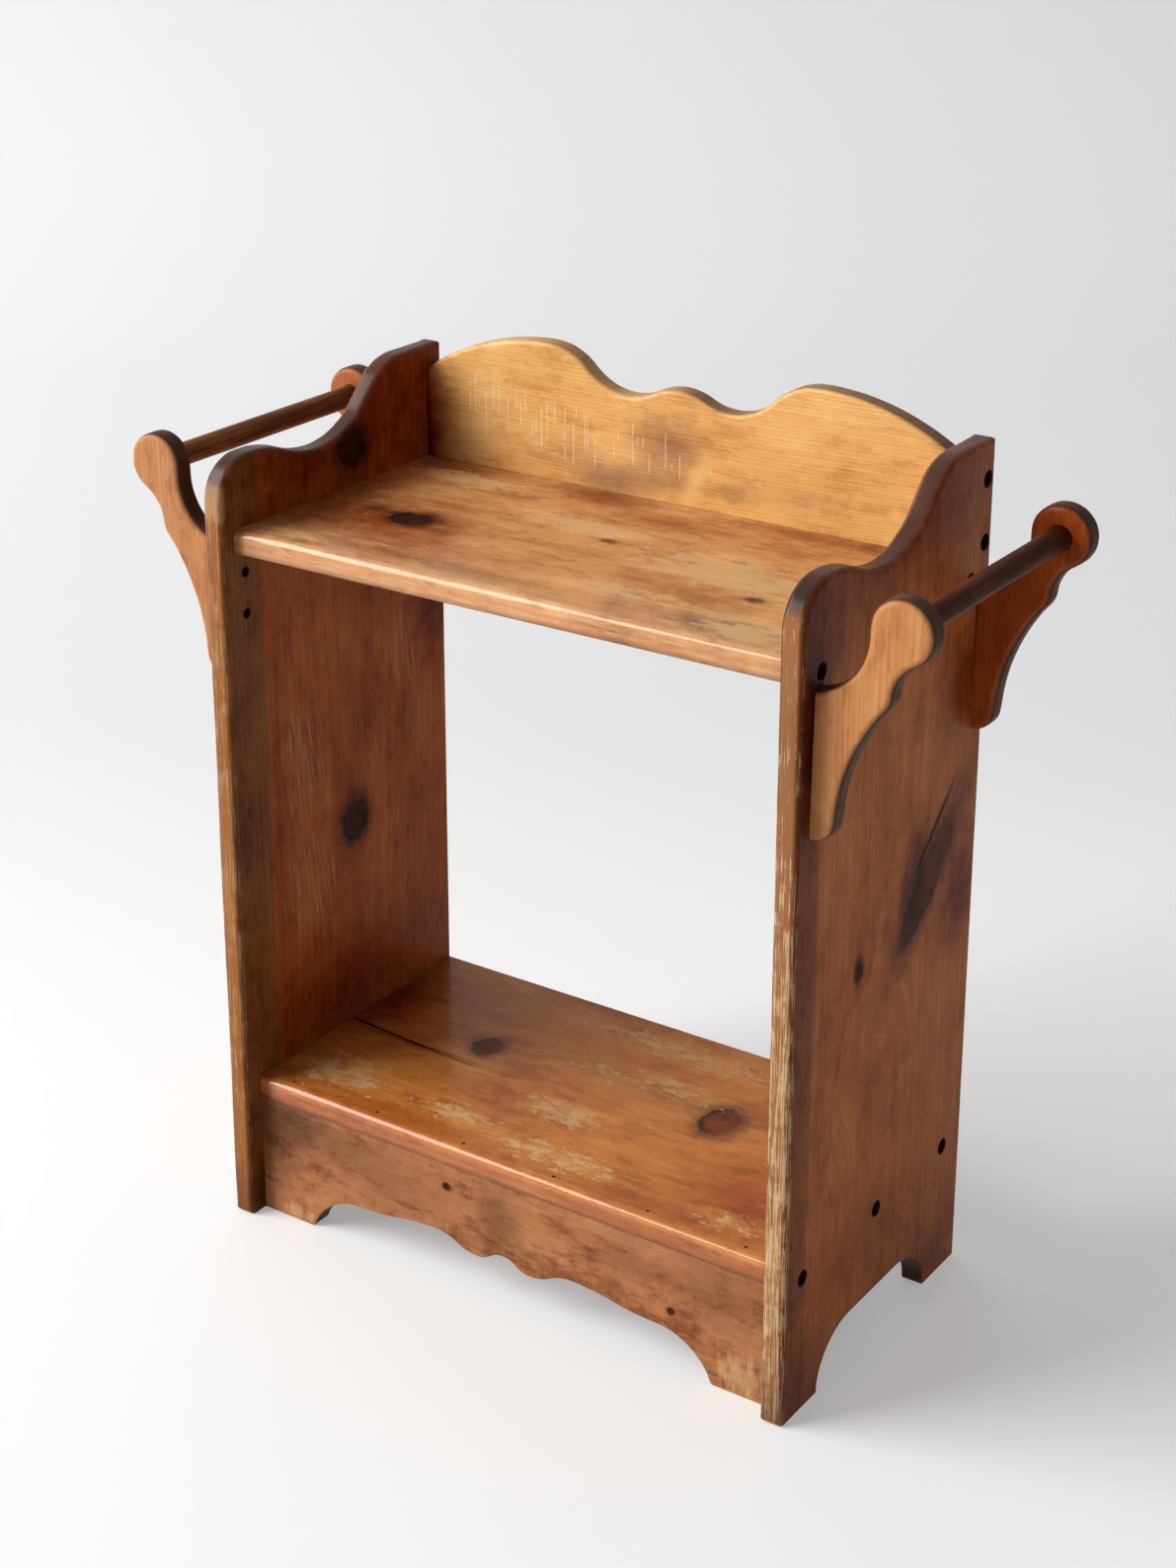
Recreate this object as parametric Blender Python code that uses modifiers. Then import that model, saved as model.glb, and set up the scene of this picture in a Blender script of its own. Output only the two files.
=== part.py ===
# Knotty pine washstand with a towel rod on each side. Metres, +Z up.
# X runs along the width, Y from front to back, and the origin is on the floor below the middle.
import math

import bmesh
import bpy

# Stock, edges and fits
BOARD = 0.019  # thickness of the dressed boards
ROUND_OVER = 0.005  # rounded front and top edges of the sides
NOSE_ROUND = 0.006  # rounded front edges of the shelves
SPLASH_ROUND = 0.004  # rounded top edge of the backsplash
BRACKET_ROUND = 0.005  # rounded edges of the brackets
EASED_EDGE = 0.0012  # edges that are only broken with sandpaper
FIT_GAP = 0.0003  # clearance between pieces that touch

# Side panels
STAND_WIDTH = 0.5405  # over both sides
SIDE_DEPTH = 0.286  # one full board
SIDE_HEIGHT = 0.710  # floor to the level top at the back
FOOT_LENGTH = 0.055  # each foot, front to back
ARCH_HEIGHT = 0.0445  # cut-out between the feet
ARCH_SWEEP = 0.050  # run of the arch's curved ends
SHOULDER_RADIUS = 0.036  # rounded front corner of the top edge
SHOULDER_DROP = 0.038  # front hump, below the top
SHOULDER_REACH = 0.042  # front edge to where the hump starts to fall
VALLEY_DROP = 0.055  # lowest stretch of the top edge, below the top
VALLEY_REACH = 0.125  # front edge to the lowest stretch
LEVEL_TOP = 0.049  # level stretch at the back
RISE_SHARE = 0.6  # share of the rise to the back that is hollow, the rest is round

# Shelves
RAIL_HEIGHT = 0.0964  # sides above the wash shelf
WASH_SHELF_SETBACK = 0.014  # shelf nose behind the sides' front edges
FLOOR_SHELF_HEIGHT = 0.1273  # floor to the top of the lower shelf
FLOOR_SHELF_SETBACK = 0.017

# Backsplash, heights above the wash shelf and distances from the middle
SPLASH_CENTRE = 0.0949
SPLASH_DIP = 0.0834
SPLASH_DIP_AT = 0.048
SPLASH_HUMP = 0.1164
SPLASH_HUMP_AT = 0.128
SPLASH_END = 0.0777

# Apron, heights above the floor and distances from the middle
APRON_SETBACK = 0.018
APRON_NOTCH = 0.042
APRON_LOBE = 0.033
APRON_LOBE_AT = 0.026
APRON_HUMP = 0.044
APRON_HUMP_AT = 0.067
APRON_CEILING = 0.036
APRON_FOOT = 0.053  # length of each foot
APRON_FOOT_SWEEP = 0.052  # run of the curve above each foot

# Brackets, distances out from the side and up from the top of the seat
BRACKET_SEAT = 0.1135  # edge that lies on the side
LEFT_BRACKET_DROP = 0.0148  # top of the seat below the wash shelf
RIGHT_BRACKET_DROP = 0.0206  # set lower by hand
FRONT_BRACKET_SETBACK = 0.0167
ROD_REACH = 0.0643
ROD_RISE = 0.0545
HEAD_RADIUS = 0.0248
NECK_RADIUS = 0.050  # hollow between the seat and the head
SCOOP_RADIUS = 0.033  # hollow under the head
NIB_REACH = 0.0592  # point between the two lower hollows
NIB_RISE = 0.002
TAIL_RADIUS = 0.165  # long hollow down to the toe
TOE_RADIUS = 0.0182

# Towel rods
ROD_DIAMETER = 0.019
ROD_CHAMFER = 0.001
SOCKET_DEPTH = 0.0095

# Screws and nails
SCREW_SHANK = 0.0042
SCREW_HEAD = 0.0072
SCREW_HEAD_CONE = 0.0021  # depth of the head's cone
SCREW_POINT = 0.006
SHELF_SCREW_LENGTH = 0.032
SHELF_COUNTERBORE = 0.0127
COUNTERBORE_DEPTH = 0.006
SHELF_SCREW_FRONT = 0.0275  # from the sides' front edges
SHELF_SCREW_BACK = 0.031  # from the sides' back edges
SPLASH_SCREW_LOW = 0.016  # above the wash shelf
SPLASH_SCREW_HIGH = 0.066
BRACKET_SCREW_LENGTH = 0.025
BRACKET_COUNTERBORE = 0.008
BRACKET_SCREW_HIGH = 0.0228  # below the top of the seat
BRACKET_SCREW_LOW = 0.0578
NAIL_COUNT = 6
NAIL_MARGIN = 0.0297  # end nails from the shelf's ends
NAIL_SHANK = 0.0022
NAIL_LENGTH = 0.045
NAIL_SET = 0.001  # heads below the surface
OVERCUT = 0.002  # how far a cutter stands clear of the face it enters

# Roundness of the facets
ARC_STEPS = 4
HOLLOW_STEPS = 6
TAIL_STEPS = 8
HEAD_STEPS = 16
ROUND_STEPS = 2
ROD_SIDES = 24
SCREW_SIDES = 10
NAIL_SIDES = 8
SHARP_ANGLE = math.radians(35)
FLAT_ANGLE = math.radians(0.5)
WELD = 0.00001

# Places worked out from the sizes above
side_face = STAND_WIDTH / 2
inner_face = side_face - BOARD
inside_half = inner_face - FIT_GAP
front = -SIDE_DEPTH / 2
back = SIDE_DEPTH / 2
wash_shelf_top = SIDE_HEIGHT - RAIL_HEIGHT
wash_shelf_middle = wash_shelf_top - BOARD / 2
floor_shelf_middle = FLOOR_SHELF_HEIGHT - BOARD / 2
splash_middle = back - BOARD / 2
apron_middle = front + APRON_SETBACK + BOARD / 2
apron_top = FLOOR_SHELF_HEIGHT - BOARD - FIT_GAP
seat_tops = {
    "left": wash_shelf_top - LEFT_BRACKET_DROP,
    "right": wash_shelf_top - RIGHT_BRACKET_DROP,
}
rod_offset = side_face + FIT_GAP + ROD_REACH
bracket_middles = {
    "front": front + FRONT_BRACKET_SETBACK + BOARD / 2,
    "rear": back - BOARD / 2,
}
sides = {"left": -1, "right": 1}

# How a board's own XY plane is turned into the stand
FACING_FRONT = (math.pi / 2, 0, 0)
FACING_SIDE = (math.pi / 2, 0, math.pi / 2)


# Outlines


def level_arc(start, end, steps=ARC_STEPS):
    """An arc that leaves start level and ends at end, without its first point."""
    dx = end[0] - start[0]
    dy = end[1] - start[1]
    radius = (dx * dx + dy * dy) / (2 * abs(dy))
    turn = 2 * math.atan2(abs(dy), abs(dx))
    points = []
    for step in range(1, steps + 1):
        angle = turn * step / steps
        x = start[0] + math.copysign(radius * math.sin(angle), dx)
        y = start[1] + math.copysign(radius * (1 - math.cos(angle)), dy)
        points.append((x, y))
    return points


def ogee(start, end, share=0.5):
    """Two arcs, level at both ends, that meet on the line between them. Leaves out its first point."""
    middle = (start[0] + share * (end[0] - start[0]), start[1] + share * (end[1] - start[1]))
    falling_back = level_arc(end, middle)
    return level_arc(start, middle) + falling_back[-2::-1] + [end]


def circle_arc(centre, radius, start, end, steps=ARC_STEPS):
    """Points on a circle from one angle to another, both included."""
    angles = [start + (end - start) * step / steps for step in range(steps + 1)]
    return [(centre[0] + radius * math.cos(a), centre[1] + radius * math.sin(a)) for a in angles]


def hollow_touching(point, radius, circle, circle_radius, turn):
    """Centre of a hollow of this radius through point that runs smoothly into the circle."""
    reach = math.dist(point, circle)
    meeting = radius + circle_radius
    along = (radius**2 - meeting**2 + reach**2) / (2 * reach)
    across = turn * math.sqrt(radius**2 - along**2)
    ux = (circle[0] - point[0]) / reach
    uy = (circle[1] - point[1]) / reach
    return (point[0] + along * ux - across * uy, point[1] + along * uy + across * ux)


def hollow_between(start, end, radius, turn):
    """Centre of a hollow of this radius through two points."""
    half = math.dist(start, end) / 2
    across = turn * math.sqrt(radius**2 - half**2)
    ux = (end[0] - start[0]) / (2 * half)
    uy = (end[1] - start[1]) / (2 * half)
    return ((start[0] + end[0]) / 2 - across * uy, (start[1] + end[1]) / 2 + across * ux)


def bearing(centre, point):
    return math.atan2(point[1] - centre[1], point[0] - centre[0])


def mirrored(half):
    """Both halves of an outline given from its middle to its right end."""
    return [(-x, y) for x, y in reversed(half) if x > WELD] + half


def side_outline():
    """Side panel, front to the left: feet, arch, rounded shoulder, hollow and level top."""
    foot_front = front + FOOT_LENGTH
    foot_back = back - FOOT_LENGTH
    arch_steps = 2 * ARC_STEPS
    sweep = [math.pi / 2 * step / arch_steps for step in range(arch_steps + 1)]
    rising = [
        (ARCH_SWEEP * (1 - math.cos(angle)), ARCH_HEIGHT * math.sin(angle)) for angle in sweep
    ]
    arch = [(foot_front + run, height) for run, height in rising]
    arch += [(foot_back - run, height) for run, height in reversed(rising)]
    hump = SIDE_HEIGHT - SHOULDER_DROP
    valley = (front + VALLEY_REACH, SIDE_HEIGHT - VALLEY_DROP)
    level_end = (back - LEVEL_TOP, SIDE_HEIGHT)
    hump_start = (front + SHOULDER_RADIUS, hump)
    hump_end = (front + SHOULDER_REACH, hump)
    shoulder = level_arc(hump_start, (front, hump - SHOULDER_RADIUS), 2 * ARC_STEPS)
    top = shoulder[::-1] + [hump_start, hump_end]
    top += ogee(hump_end, valley) + ogee(valley, level_end, RISE_SHARE)
    return [(front, 0)] + top + [(back, SIDE_HEIGHT), (back, 0)] + arch[::-1]


def splash_outline():
    """Backsplash: a low centre crest, a dip and a high hump on each side."""
    base = wash_shelf_top + FIT_GAP
    centre = (0, wash_shelf_top + SPLASH_CENTRE)
    dip = (SPLASH_DIP_AT, wash_shelf_top + SPLASH_DIP)
    hump = (SPLASH_HUMP_AT, wash_shelf_top + SPLASH_HUMP)
    end = (inside_half, wash_shelf_top + SPLASH_END)
    half = [centre] + ogee(centre, dip) + ogee(dip, hump) + level_arc(hump, end, 2 * ARC_STEPS)
    return mirrored(half + [(inside_half, base)])


def apron_outline():
    """Apron: a small centre notch between two lobes, two humps and a foot at each end."""
    foot_end = inside_half - APRON_FOOT
    notch = (0, APRON_NOTCH)
    lobe = (APRON_LOBE_AT, APRON_LOBE)
    hump = (APRON_HUMP_AT, APRON_HUMP)
    bend = (foot_end - APRON_FOOT_SWEEP, APRON_CEILING)
    half = [notch] + ogee(notch, lobe) + ogee(lobe, hump) + ogee(hump, bend)
    half += level_arc(bend, (foot_end, 0), 2 * ARC_STEPS)
    half += [(inside_half, 0), (inside_half, apron_top)]
    return mirrored(half)


def bracket_outline():
    """Bracket from the top of its seat, outwards over the head and down to the toe."""
    seat = (0, 0)
    head = (ROD_REACH, ROD_RISE)
    nib = (NIB_REACH, NIB_RISE)
    toe_centre = (0, TOE_RADIUS - BRACKET_SEAT)
    toe = (TOE_RADIUS, toe_centre[1])
    neck = hollow_touching(seat, NECK_RADIUS, head, HEAD_RADIUS, 1)
    scoop = hollow_touching(nib, SCOOP_RADIUS, head, HEAD_RADIUS, -1)
    tail = hollow_between(nib, toe, TAIL_RADIUS, 1)
    neck_points = circle_arc(
        neck, NECK_RADIUS, bearing(neck, seat), bearing(neck, head), HOLLOW_STEPS
    )
    head_start = bearing(head, neck) % math.tau
    head_end = bearing(head, scoop)
    head_points = circle_arc(head, HEAD_RADIUS, head_start, head_end, HEAD_STEPS)
    scoop_points = circle_arc(
        scoop, SCOOP_RADIUS, bearing(scoop, head), bearing(scoop, nib) % math.tau, HOLLOW_STEPS
    )
    tail_points = circle_arc(
        tail, TAIL_RADIUS, bearing(tail, nib), bearing(tail, toe) % math.tau, TAIL_STEPS
    )
    toe_points = circle_arc(toe_centre, TOE_RADIUS, 0, -math.pi / 2, ARC_STEPS)
    return neck_points + head_points[1:] + scoop_points[1:] + tail_points[1:] + toe_points[1:]


# Meshes


def plate_mesh(name, outline, thickness):
    """A board sawn to an outline in its own XY plane, with its thickness centred on Z."""
    curve = bpy.data.curves.new(name, "CURVE")
    curve.dimensions = "2D"
    curve.fill_mode = "BOTH"
    curve.extrude = thickness / 2
    spline = curve.splines.new("POLY")
    spline.points.add(len(outline) - 1)
    for point, (x, y) in zip(spline.points, outline):
        point.co = (x, y, 0, 1)
    spline.use_cyclic_u = True
    sawn = bpy.data.objects.new(name + "_sawn", curve)
    bpy.context.scene.collection.objects.link(sawn)
    evaluated = sawn.evaluated_get(bpy.context.evaluated_depsgraph_get())
    mesh = bpy.data.meshes.new_from_object(evaluated)
    mesh.name = name
    bpy.data.objects.remove(sawn)
    bm = bmesh.new()
    bm.from_mesh(mesh)
    bmesh.ops.remove_doubles(bm, verts=bm.verts, dist=WELD)
    bmesh.ops.dissolve_limit(bm, angle_limit=FLAT_ANGLE, verts=bm.verts, edges=bm.edges)
    bmesh.ops.recalc_face_normals(bm, faces=bm.faces)
    bm.to_mesh(mesh)
    bm.free()
    return mesh


def box_mesh(name, size):
    bm = bmesh.new()
    bmesh.ops.create_cube(bm, size=1)
    bmesh.ops.scale(bm, vec=size, verts=bm.verts)
    mesh = bpy.data.meshes.new(name)
    bm.to_mesh(mesh)
    bm.free()
    return mesh


def profile_mesh(name, profile):
    """The profile of a turned piece, from the axis at its top down to the axis at its foot."""
    mesh = bpy.data.meshes.new(name)
    mesh.from_pydata([(r, 0, z) for r, z in profile], [(i, i + 1) for i in range(len(profile) - 1)], [])
    return mesh


def weigh_edges(mesh, share_at):
    """Sets how far each sharp edge is rounded, as the share of the bevel that share_at gives."""
    bm = bmesh.new()
    bm.from_mesh(mesh)
    weight = bm.edges.layers.float.new("bevel_weight_edge")
    for edge in bm.edges:
        if edge.calc_face_angle(0) > SHARP_ANGLE:
            edge[weight] = share_at((edge.verts[0].co + edge.verts[1].co) / 2)
    bm.to_mesh(mesh)
    bm.free()


# Objects


def clear_scene():
    for obj in list(bpy.data.objects):
        bpy.data.objects.remove(obj)


def new_collection(name, parent):
    collection = bpy.data.collections.new(name)
    parent.children.link(collection)
    return collection


def finish(name, colour, roughness, metallic=0):
    material = bpy.data.materials.new(name)
    material.use_nodes = True
    shader = material.node_tree.nodes["Principled BSDF"]
    shader.inputs["Base Color"].default_value = (*colour, 1)
    shader.inputs["Roughness"].default_value = roughness
    shader.inputs["Metallic"].default_value = metallic
    return material


def add_piece(name, mesh, location, rotation=(0, 0, 0)):
    piece = bpy.data.objects.new(name, mesh)
    piece.location = location
    piece.rotation_euler = rotation
    piece.parent = stand
    pieces.objects.link(piece)
    return piece


def dress(piece, colour, roughness, metallic=0):
    """Gives a piece its own material, whether or not it shares its mesh."""
    if not piece.data.materials:
        piece.data.materials.append(None)
    slot = piece.material_slots[0]
    slot.link = "OBJECT"
    slot.material = finish(piece.name, colour, roughness, metallic)


def turn(obj, sides_round):
    screw = obj.modifiers.new("turned", "SCREW")
    screw.steps = sides_round
    screw.render_steps = sides_round
    screw.use_merge_vertices = True
    screw.merge_threshold = WELD
    screw.use_smooth_shade = True


def round_edges(piece, width):
    bevel = piece.modifiers.new("rounded edges", "BEVEL")
    bevel.limit_method = "WEIGHT"
    bevel.width = width
    bevel.segments = ROUND_STEPS


def cut(piece, cutters):
    boolean = piece.modifiers.new("holes", "BOOLEAN")
    boolean.operation = "DIFFERENCE"
    boolean.operand_type = "COLLECTION"
    boolean.collection = cutters
    boolean.solver = "EXACT"


def holes_in(piece_name):
    """The collection of cutters that drill one piece."""
    found = bpy.data.collections.get(piece_name + "_holes")
    return found or new_collection(piece_name + "_holes", cutter_root)


def add_cutter(name, mesh, location, rotation, sides_round, drilled):
    cutter = bpy.data.objects.new(name, mesh)
    cutter.location = location
    cutter.rotation_euler = rotation
    cutter.parent = stand
    cutter.hide_render = True
    cutter.display_type = "WIRE"
    turn(cutter, sides_round)
    for piece_name in drilled:
        holes_in(piece_name).objects.link(cutter)


# Colours of the stained pine, the walnut-dark rods and the steel
AMBER = (0.36, 0.15, 0.045)
GOLD = (0.46, 0.21, 0.06)
RUSSET = (0.33, 0.12, 0.035)
WALNUT = (0.10, 0.045, 0.022)
STEEL = (0.16, 0.14, 0.12)
VARNISH = 0.38
DULL_METAL = 0.5


def make_sides():
    def share_at(point):
        behind = point.x > back - WELD
        below = point.y < ARCH_HEIGHT + WELD and point.x > front + WELD
        return EASED_EDGE / ROUND_OVER if behind or below else 1

    outline = side_outline()
    for side, sign in sides.items():
        name = f"{side}_side_panel"
        mesh = plate_mesh(name, outline, BOARD)
        weigh_edges(mesh, share_at)
        panel = add_piece(name, mesh, (sign * (side_face - BOARD / 2), 0, 0), FACING_SIDE)
        round_edges(panel, ROUND_OVER)
        cut(panel, holes_in(name))
        dress(panel, AMBER, VARNISH)


def make_shelf(name, setback, middle, colour):
    depth = SIDE_DEPTH - setback

    def share_at(point):
        along_front = point.y < -depth / 2 + WELD and abs(point.x) < WELD
        if along_front and point.z > 0:
            return 1
        return EASED_EDGE / NOSE_ROUND if abs(point.x) < WELD else 0

    mesh = box_mesh(name, (2 * inside_half, depth, BOARD))
    weigh_edges(mesh, share_at)
    shelf = add_piece(name, mesh, (0, back - depth / 2, middle))
    round_edges(shelf, NOSE_ROUND)
    cut(shelf, holes_in(name))
    dress(shelf, colour, VARNISH)


def make_backsplash():
    def share_at(point):
        at_end = abs(point.x) > inside_half - WELD
        below = point.y < wash_shelf_top + 2 * FIT_GAP
        return 0 if at_end or below else 1

    mesh = plate_mesh("backsplash", splash_outline(), BOARD)
    weigh_edges(mesh, share_at)
    splash = add_piece("backsplash", mesh, (0, splash_middle, 0), FACING_FRONT)
    round_edges(splash, SPLASH_ROUND)
    cut(splash, holes_in("backsplash"))
    dress(splash, GOLD, VARNISH)


def make_apron():
    def share_at(point):
        at_end = abs(point.x) > inside_half - WELD
        above = point.y > apron_top - WELD
        return 0 if at_end or above else 1

    mesh = plate_mesh("front_apron", apron_outline(), BOARD)
    weigh_edges(mesh, share_at)
    apron = add_piece("front_apron", mesh, (0, apron_middle, 0), FACING_FRONT)
    round_edges(apron, EASED_EDGE)
    cut(apron, holes_in("front_apron"))
    dress(apron, RUSSET, VARNISH)


def make_brackets():
    def share_at(point):
        return 0 if abs(point.x) < WELD else 1

    outline = bracket_outline()
    for side, sign in sides.items():
        for place, middle in bracket_middles.items():
            name = f"{side}_{place}_bracket"
            mesh = plate_mesh(name, [(sign * x, y) for x, y in outline], BOARD)
            weigh_edges(mesh, share_at)
            seat = (sign * (side_face + FIT_GAP), middle, seat_tops[side])
            bracket = add_piece(name, mesh, seat, FACING_FRONT)
            round_edges(bracket, BRACKET_ROUND)
            cut(bracket, holes_in(name))
            dress(bracket, AMBER, VARNISH)


def make_rods():
    """The rods turn in blind sockets, so a socket's flats clear the rod's corners all the way round."""
    rod_radius = ROD_DIAMETER / 2
    socket_radius = (rod_radius + FIT_GAP) / math.cos(math.pi / ROD_SIDES)
    front_mouth = bracket_middles["front"] + BOARD / 2
    rear_mouth = bracket_middles["rear"] - BOARD / 2
    half = (rear_mouth - front_mouth) / 2 + SOCKET_DEPTH - FIT_GAP
    rod_middle = (front_mouth + rear_mouth) / 2
    half_profile = [(0, half), (rod_radius - ROD_CHAMFER, half), (rod_radius, half - ROD_CHAMFER)]
    rod_profile = half_profile + [(r, -z) for r, z in reversed(half_profile)]
    socket_profile = [
        (0, SOCKET_DEPTH),
        (socket_radius, SOCKET_DEPTH),
        (socket_radius, -OVERCUT),
        (0, -OVERCUT),
    ]
    rod_mesh = profile_mesh("towel_rod", rod_profile)
    socket_mesh = profile_mesh("rod_socket", socket_profile)
    for side, sign in sides.items():
        axis_x = sign * rod_offset
        axis_z = seat_tops[side] + ROD_RISE
        rod = add_piece(f"{side}_towel_rod", rod_mesh, (axis_x, rod_middle, axis_z), FACING_FRONT)
        turn(rod, ROD_SIDES)
        dress(rod, WALNUT, VARNISH)
        for place, mouth, facing in (
            ("front", front_mouth, FACING_FRONT),
            ("rear", rear_mouth, (-math.pi / 2, 0, 0)),
        ):
            name = f"{side}_{place}_bracket"
            add_cutter(
                f"{name}_socket", socket_mesh, (axis_x, mouth, axis_z), facing, ROD_SIDES, [name]
            )


def screw_profile(length):
    """Countersunk wood screw, its flat head level with the bottom of the counterbore."""
    shank = SCREW_SHANK / 2
    top = -COUNTERBORE_DEPTH
    return [
        (0, top),
        (SCREW_HEAD / 2, top),
        (shank, top - SCREW_HEAD_CONE),
        (shank, top - length + SCREW_POINT),
        (0, top - length),
    ]


def screw_hole_profile(length, counterbore):
    shank = SCREW_SHANK / 2 + FIT_GAP
    bottom = -COUNTERBORE_DEPTH
    return [
        (0, OVERCUT),
        (counterbore / 2, OVERCUT),
        (counterbore / 2, bottom),
        (SCREW_HEAD / 2 + FIT_GAP, bottom),
        (shank, bottom - SCREW_HEAD_CONE),
        (shank, bottom - length - FIT_GAP),
        (0, bottom - length - FIT_GAP),
    ]


def add_screws(kind, length, counterbore, places):
    """Screws and the holes they sit in. A place is a name, a point on the face it enters, the way that the
    face looks along X, and the pieces that the screw joins."""
    screw_mesh = profile_mesh(f"{kind}_screw", screw_profile(length))
    hole_mesh = profile_mesh(f"{kind}_screw_hole", screw_hole_profile(length, counterbore))
    for name, point, looks, joined in places:
        facing = (0, looks * math.pi / 2, 0)
        screw = add_piece(name, screw_mesh, point, facing)
        turn(screw, SCREW_SIDES)
        dress(screw, STEEL, DULL_METAL, 1)
        add_cutter(f"{name}_hole", hole_mesh, point, facing, SCREW_SIDES, joined)


def make_screws():
    shelf_rows = {
        "front": front + SHELF_SCREW_FRONT,
        "middle": 0,
        "rear": back - SHELF_SCREW_BACK,
    }
    shelves = {"wash_shelf": wash_shelf_middle, "floor_shelf": floor_shelf_middle}
    splash_rows = {"low": SPLASH_SCREW_LOW, "high": SPLASH_SCREW_HIGH}
    bracket_rows = {"high": BRACKET_SCREW_HIGH, "low": BRACKET_SCREW_LOW}
    through_side = []
    into_brackets = []
    for side, sign in sides.items():
        panel = f"{side}_side_panel"
        for shelf, height in shelves.items():
            for row, y in shelf_rows.items():
                point = (sign * side_face, y, height)
                through_side.append((f"{side}_{shelf}_screw_{row}", point, sign, [panel, shelf]))
        for row, above in splash_rows.items():
            point = (sign * side_face, splash_middle, wash_shelf_top + above)
            through_side.append((f"{side}_backsplash_screw_{row}", point, sign, [panel, "backsplash"]))
        for place, y in bracket_middles.items():
            bracket = f"{side}_{place}_bracket"
            for row, below in bracket_rows.items():
                point = (sign * inner_face, y, seat_tops[side] - below)
                into_brackets.append((f"{bracket}_screw_{row}", point, -sign, [panel, bracket]))
    add_screws("shelf", SHELF_SCREW_LENGTH, SHELF_COUNTERBORE, through_side)
    add_screws("bracket", BRACKET_SCREW_LENGTH, BRACKET_COUNTERBORE, into_brackets)


def make_nails():
    """Finish nails through the lower shelf into the middle of the apron's edge."""
    radius = NAIL_SHANK / 2
    hole = radius + FIT_GAP
    top = -NAIL_SET
    foot = top - NAIL_LENGTH
    nail_mesh = profile_mesh("nail", [(0, top), (radius, top), (radius, foot), (0, foot)])
    hole_foot = foot - FIT_GAP
    hole_mesh = profile_mesh(
        "nail_hole", [(0, OVERCUT), (hole, OVERCUT), (hole, hole_foot), (0, hole_foot)]
    )
    pitch = 2 * (inside_half - NAIL_MARGIN) / (NAIL_COUNT - 1)
    for index in range(NAIL_COUNT):
        x = (index - (NAIL_COUNT - 1) / 2) * pitch
        point = (x, apron_middle, FLOOR_SHELF_HEIGHT)
        name = f"apron_nail_{index + 1}"
        nail = add_piece(name, nail_mesh, point)
        turn(nail, NAIL_SIDES)
        dress(nail, STEEL, DULL_METAL, 1)
        joined = ["floor_shelf", "front_apron"]
        add_cutter(f"{name}_hole", hole_mesh, point, (0, 0, 0), NAIL_SIDES, joined)


clear_scene()
pieces = new_collection("washstand", bpy.context.scene.collection)
cutter_root = new_collection("cutters", bpy.context.scene.collection)
stand = bpy.data.objects.new("washstand", None)
pieces.objects.link(stand)
make_screws()
make_nails()
make_rods()
make_sides()
make_shelf("wash_shelf", WASH_SHELF_SETBACK, wash_shelf_middle, AMBER)
make_shelf("floor_shelf", FLOOR_SHELF_SETBACK, floor_shelf_middle, RUSSET)
make_backsplash()
make_apron()
make_brackets()
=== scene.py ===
import math

import bmesh
import bpy
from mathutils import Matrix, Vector, noise
from mathutils.geometry import delaunay_2d_cdt


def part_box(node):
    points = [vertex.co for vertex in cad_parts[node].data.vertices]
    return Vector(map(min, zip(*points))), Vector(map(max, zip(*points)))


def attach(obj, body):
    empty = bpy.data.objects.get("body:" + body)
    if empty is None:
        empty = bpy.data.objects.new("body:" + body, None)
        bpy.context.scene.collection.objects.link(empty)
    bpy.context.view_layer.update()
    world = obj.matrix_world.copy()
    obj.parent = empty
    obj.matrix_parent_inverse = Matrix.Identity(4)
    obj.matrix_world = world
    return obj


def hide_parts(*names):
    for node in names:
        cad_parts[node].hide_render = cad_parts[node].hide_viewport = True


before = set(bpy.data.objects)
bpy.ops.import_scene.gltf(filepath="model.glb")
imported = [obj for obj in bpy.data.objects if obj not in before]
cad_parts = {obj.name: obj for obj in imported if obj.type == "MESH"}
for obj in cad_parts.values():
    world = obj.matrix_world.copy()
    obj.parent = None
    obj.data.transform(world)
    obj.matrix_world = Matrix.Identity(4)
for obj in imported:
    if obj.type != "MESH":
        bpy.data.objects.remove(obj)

scene = bpy.context.scene
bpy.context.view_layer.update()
axisNames = "XYZ"
print("frame loaded,", len(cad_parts), "nodes")


# Node trees: a Wire is a socket that takes part in Python arithmetic, a Bench adds nodes to one tree

class Wire:
    def __init__(self, bench, socket):
        self.bench = bench
        self.socket = socket

    def __add__(self, other):
        return self.bench.maths("ADD", self, other)

    def __radd__(self, other):
        return self.bench.maths("ADD", other, self)

    def __sub__(self, other):
        return self.bench.maths("SUBTRACT", self, other)

    def __rsub__(self, other):
        return self.bench.maths("SUBTRACT", other, self)

    def __mul__(self, other):
        return self.bench.maths("MULTIPLY", self, other)

    def __rmul__(self, other):
        return self.bench.maths("MULTIPLY", other, self)


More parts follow.
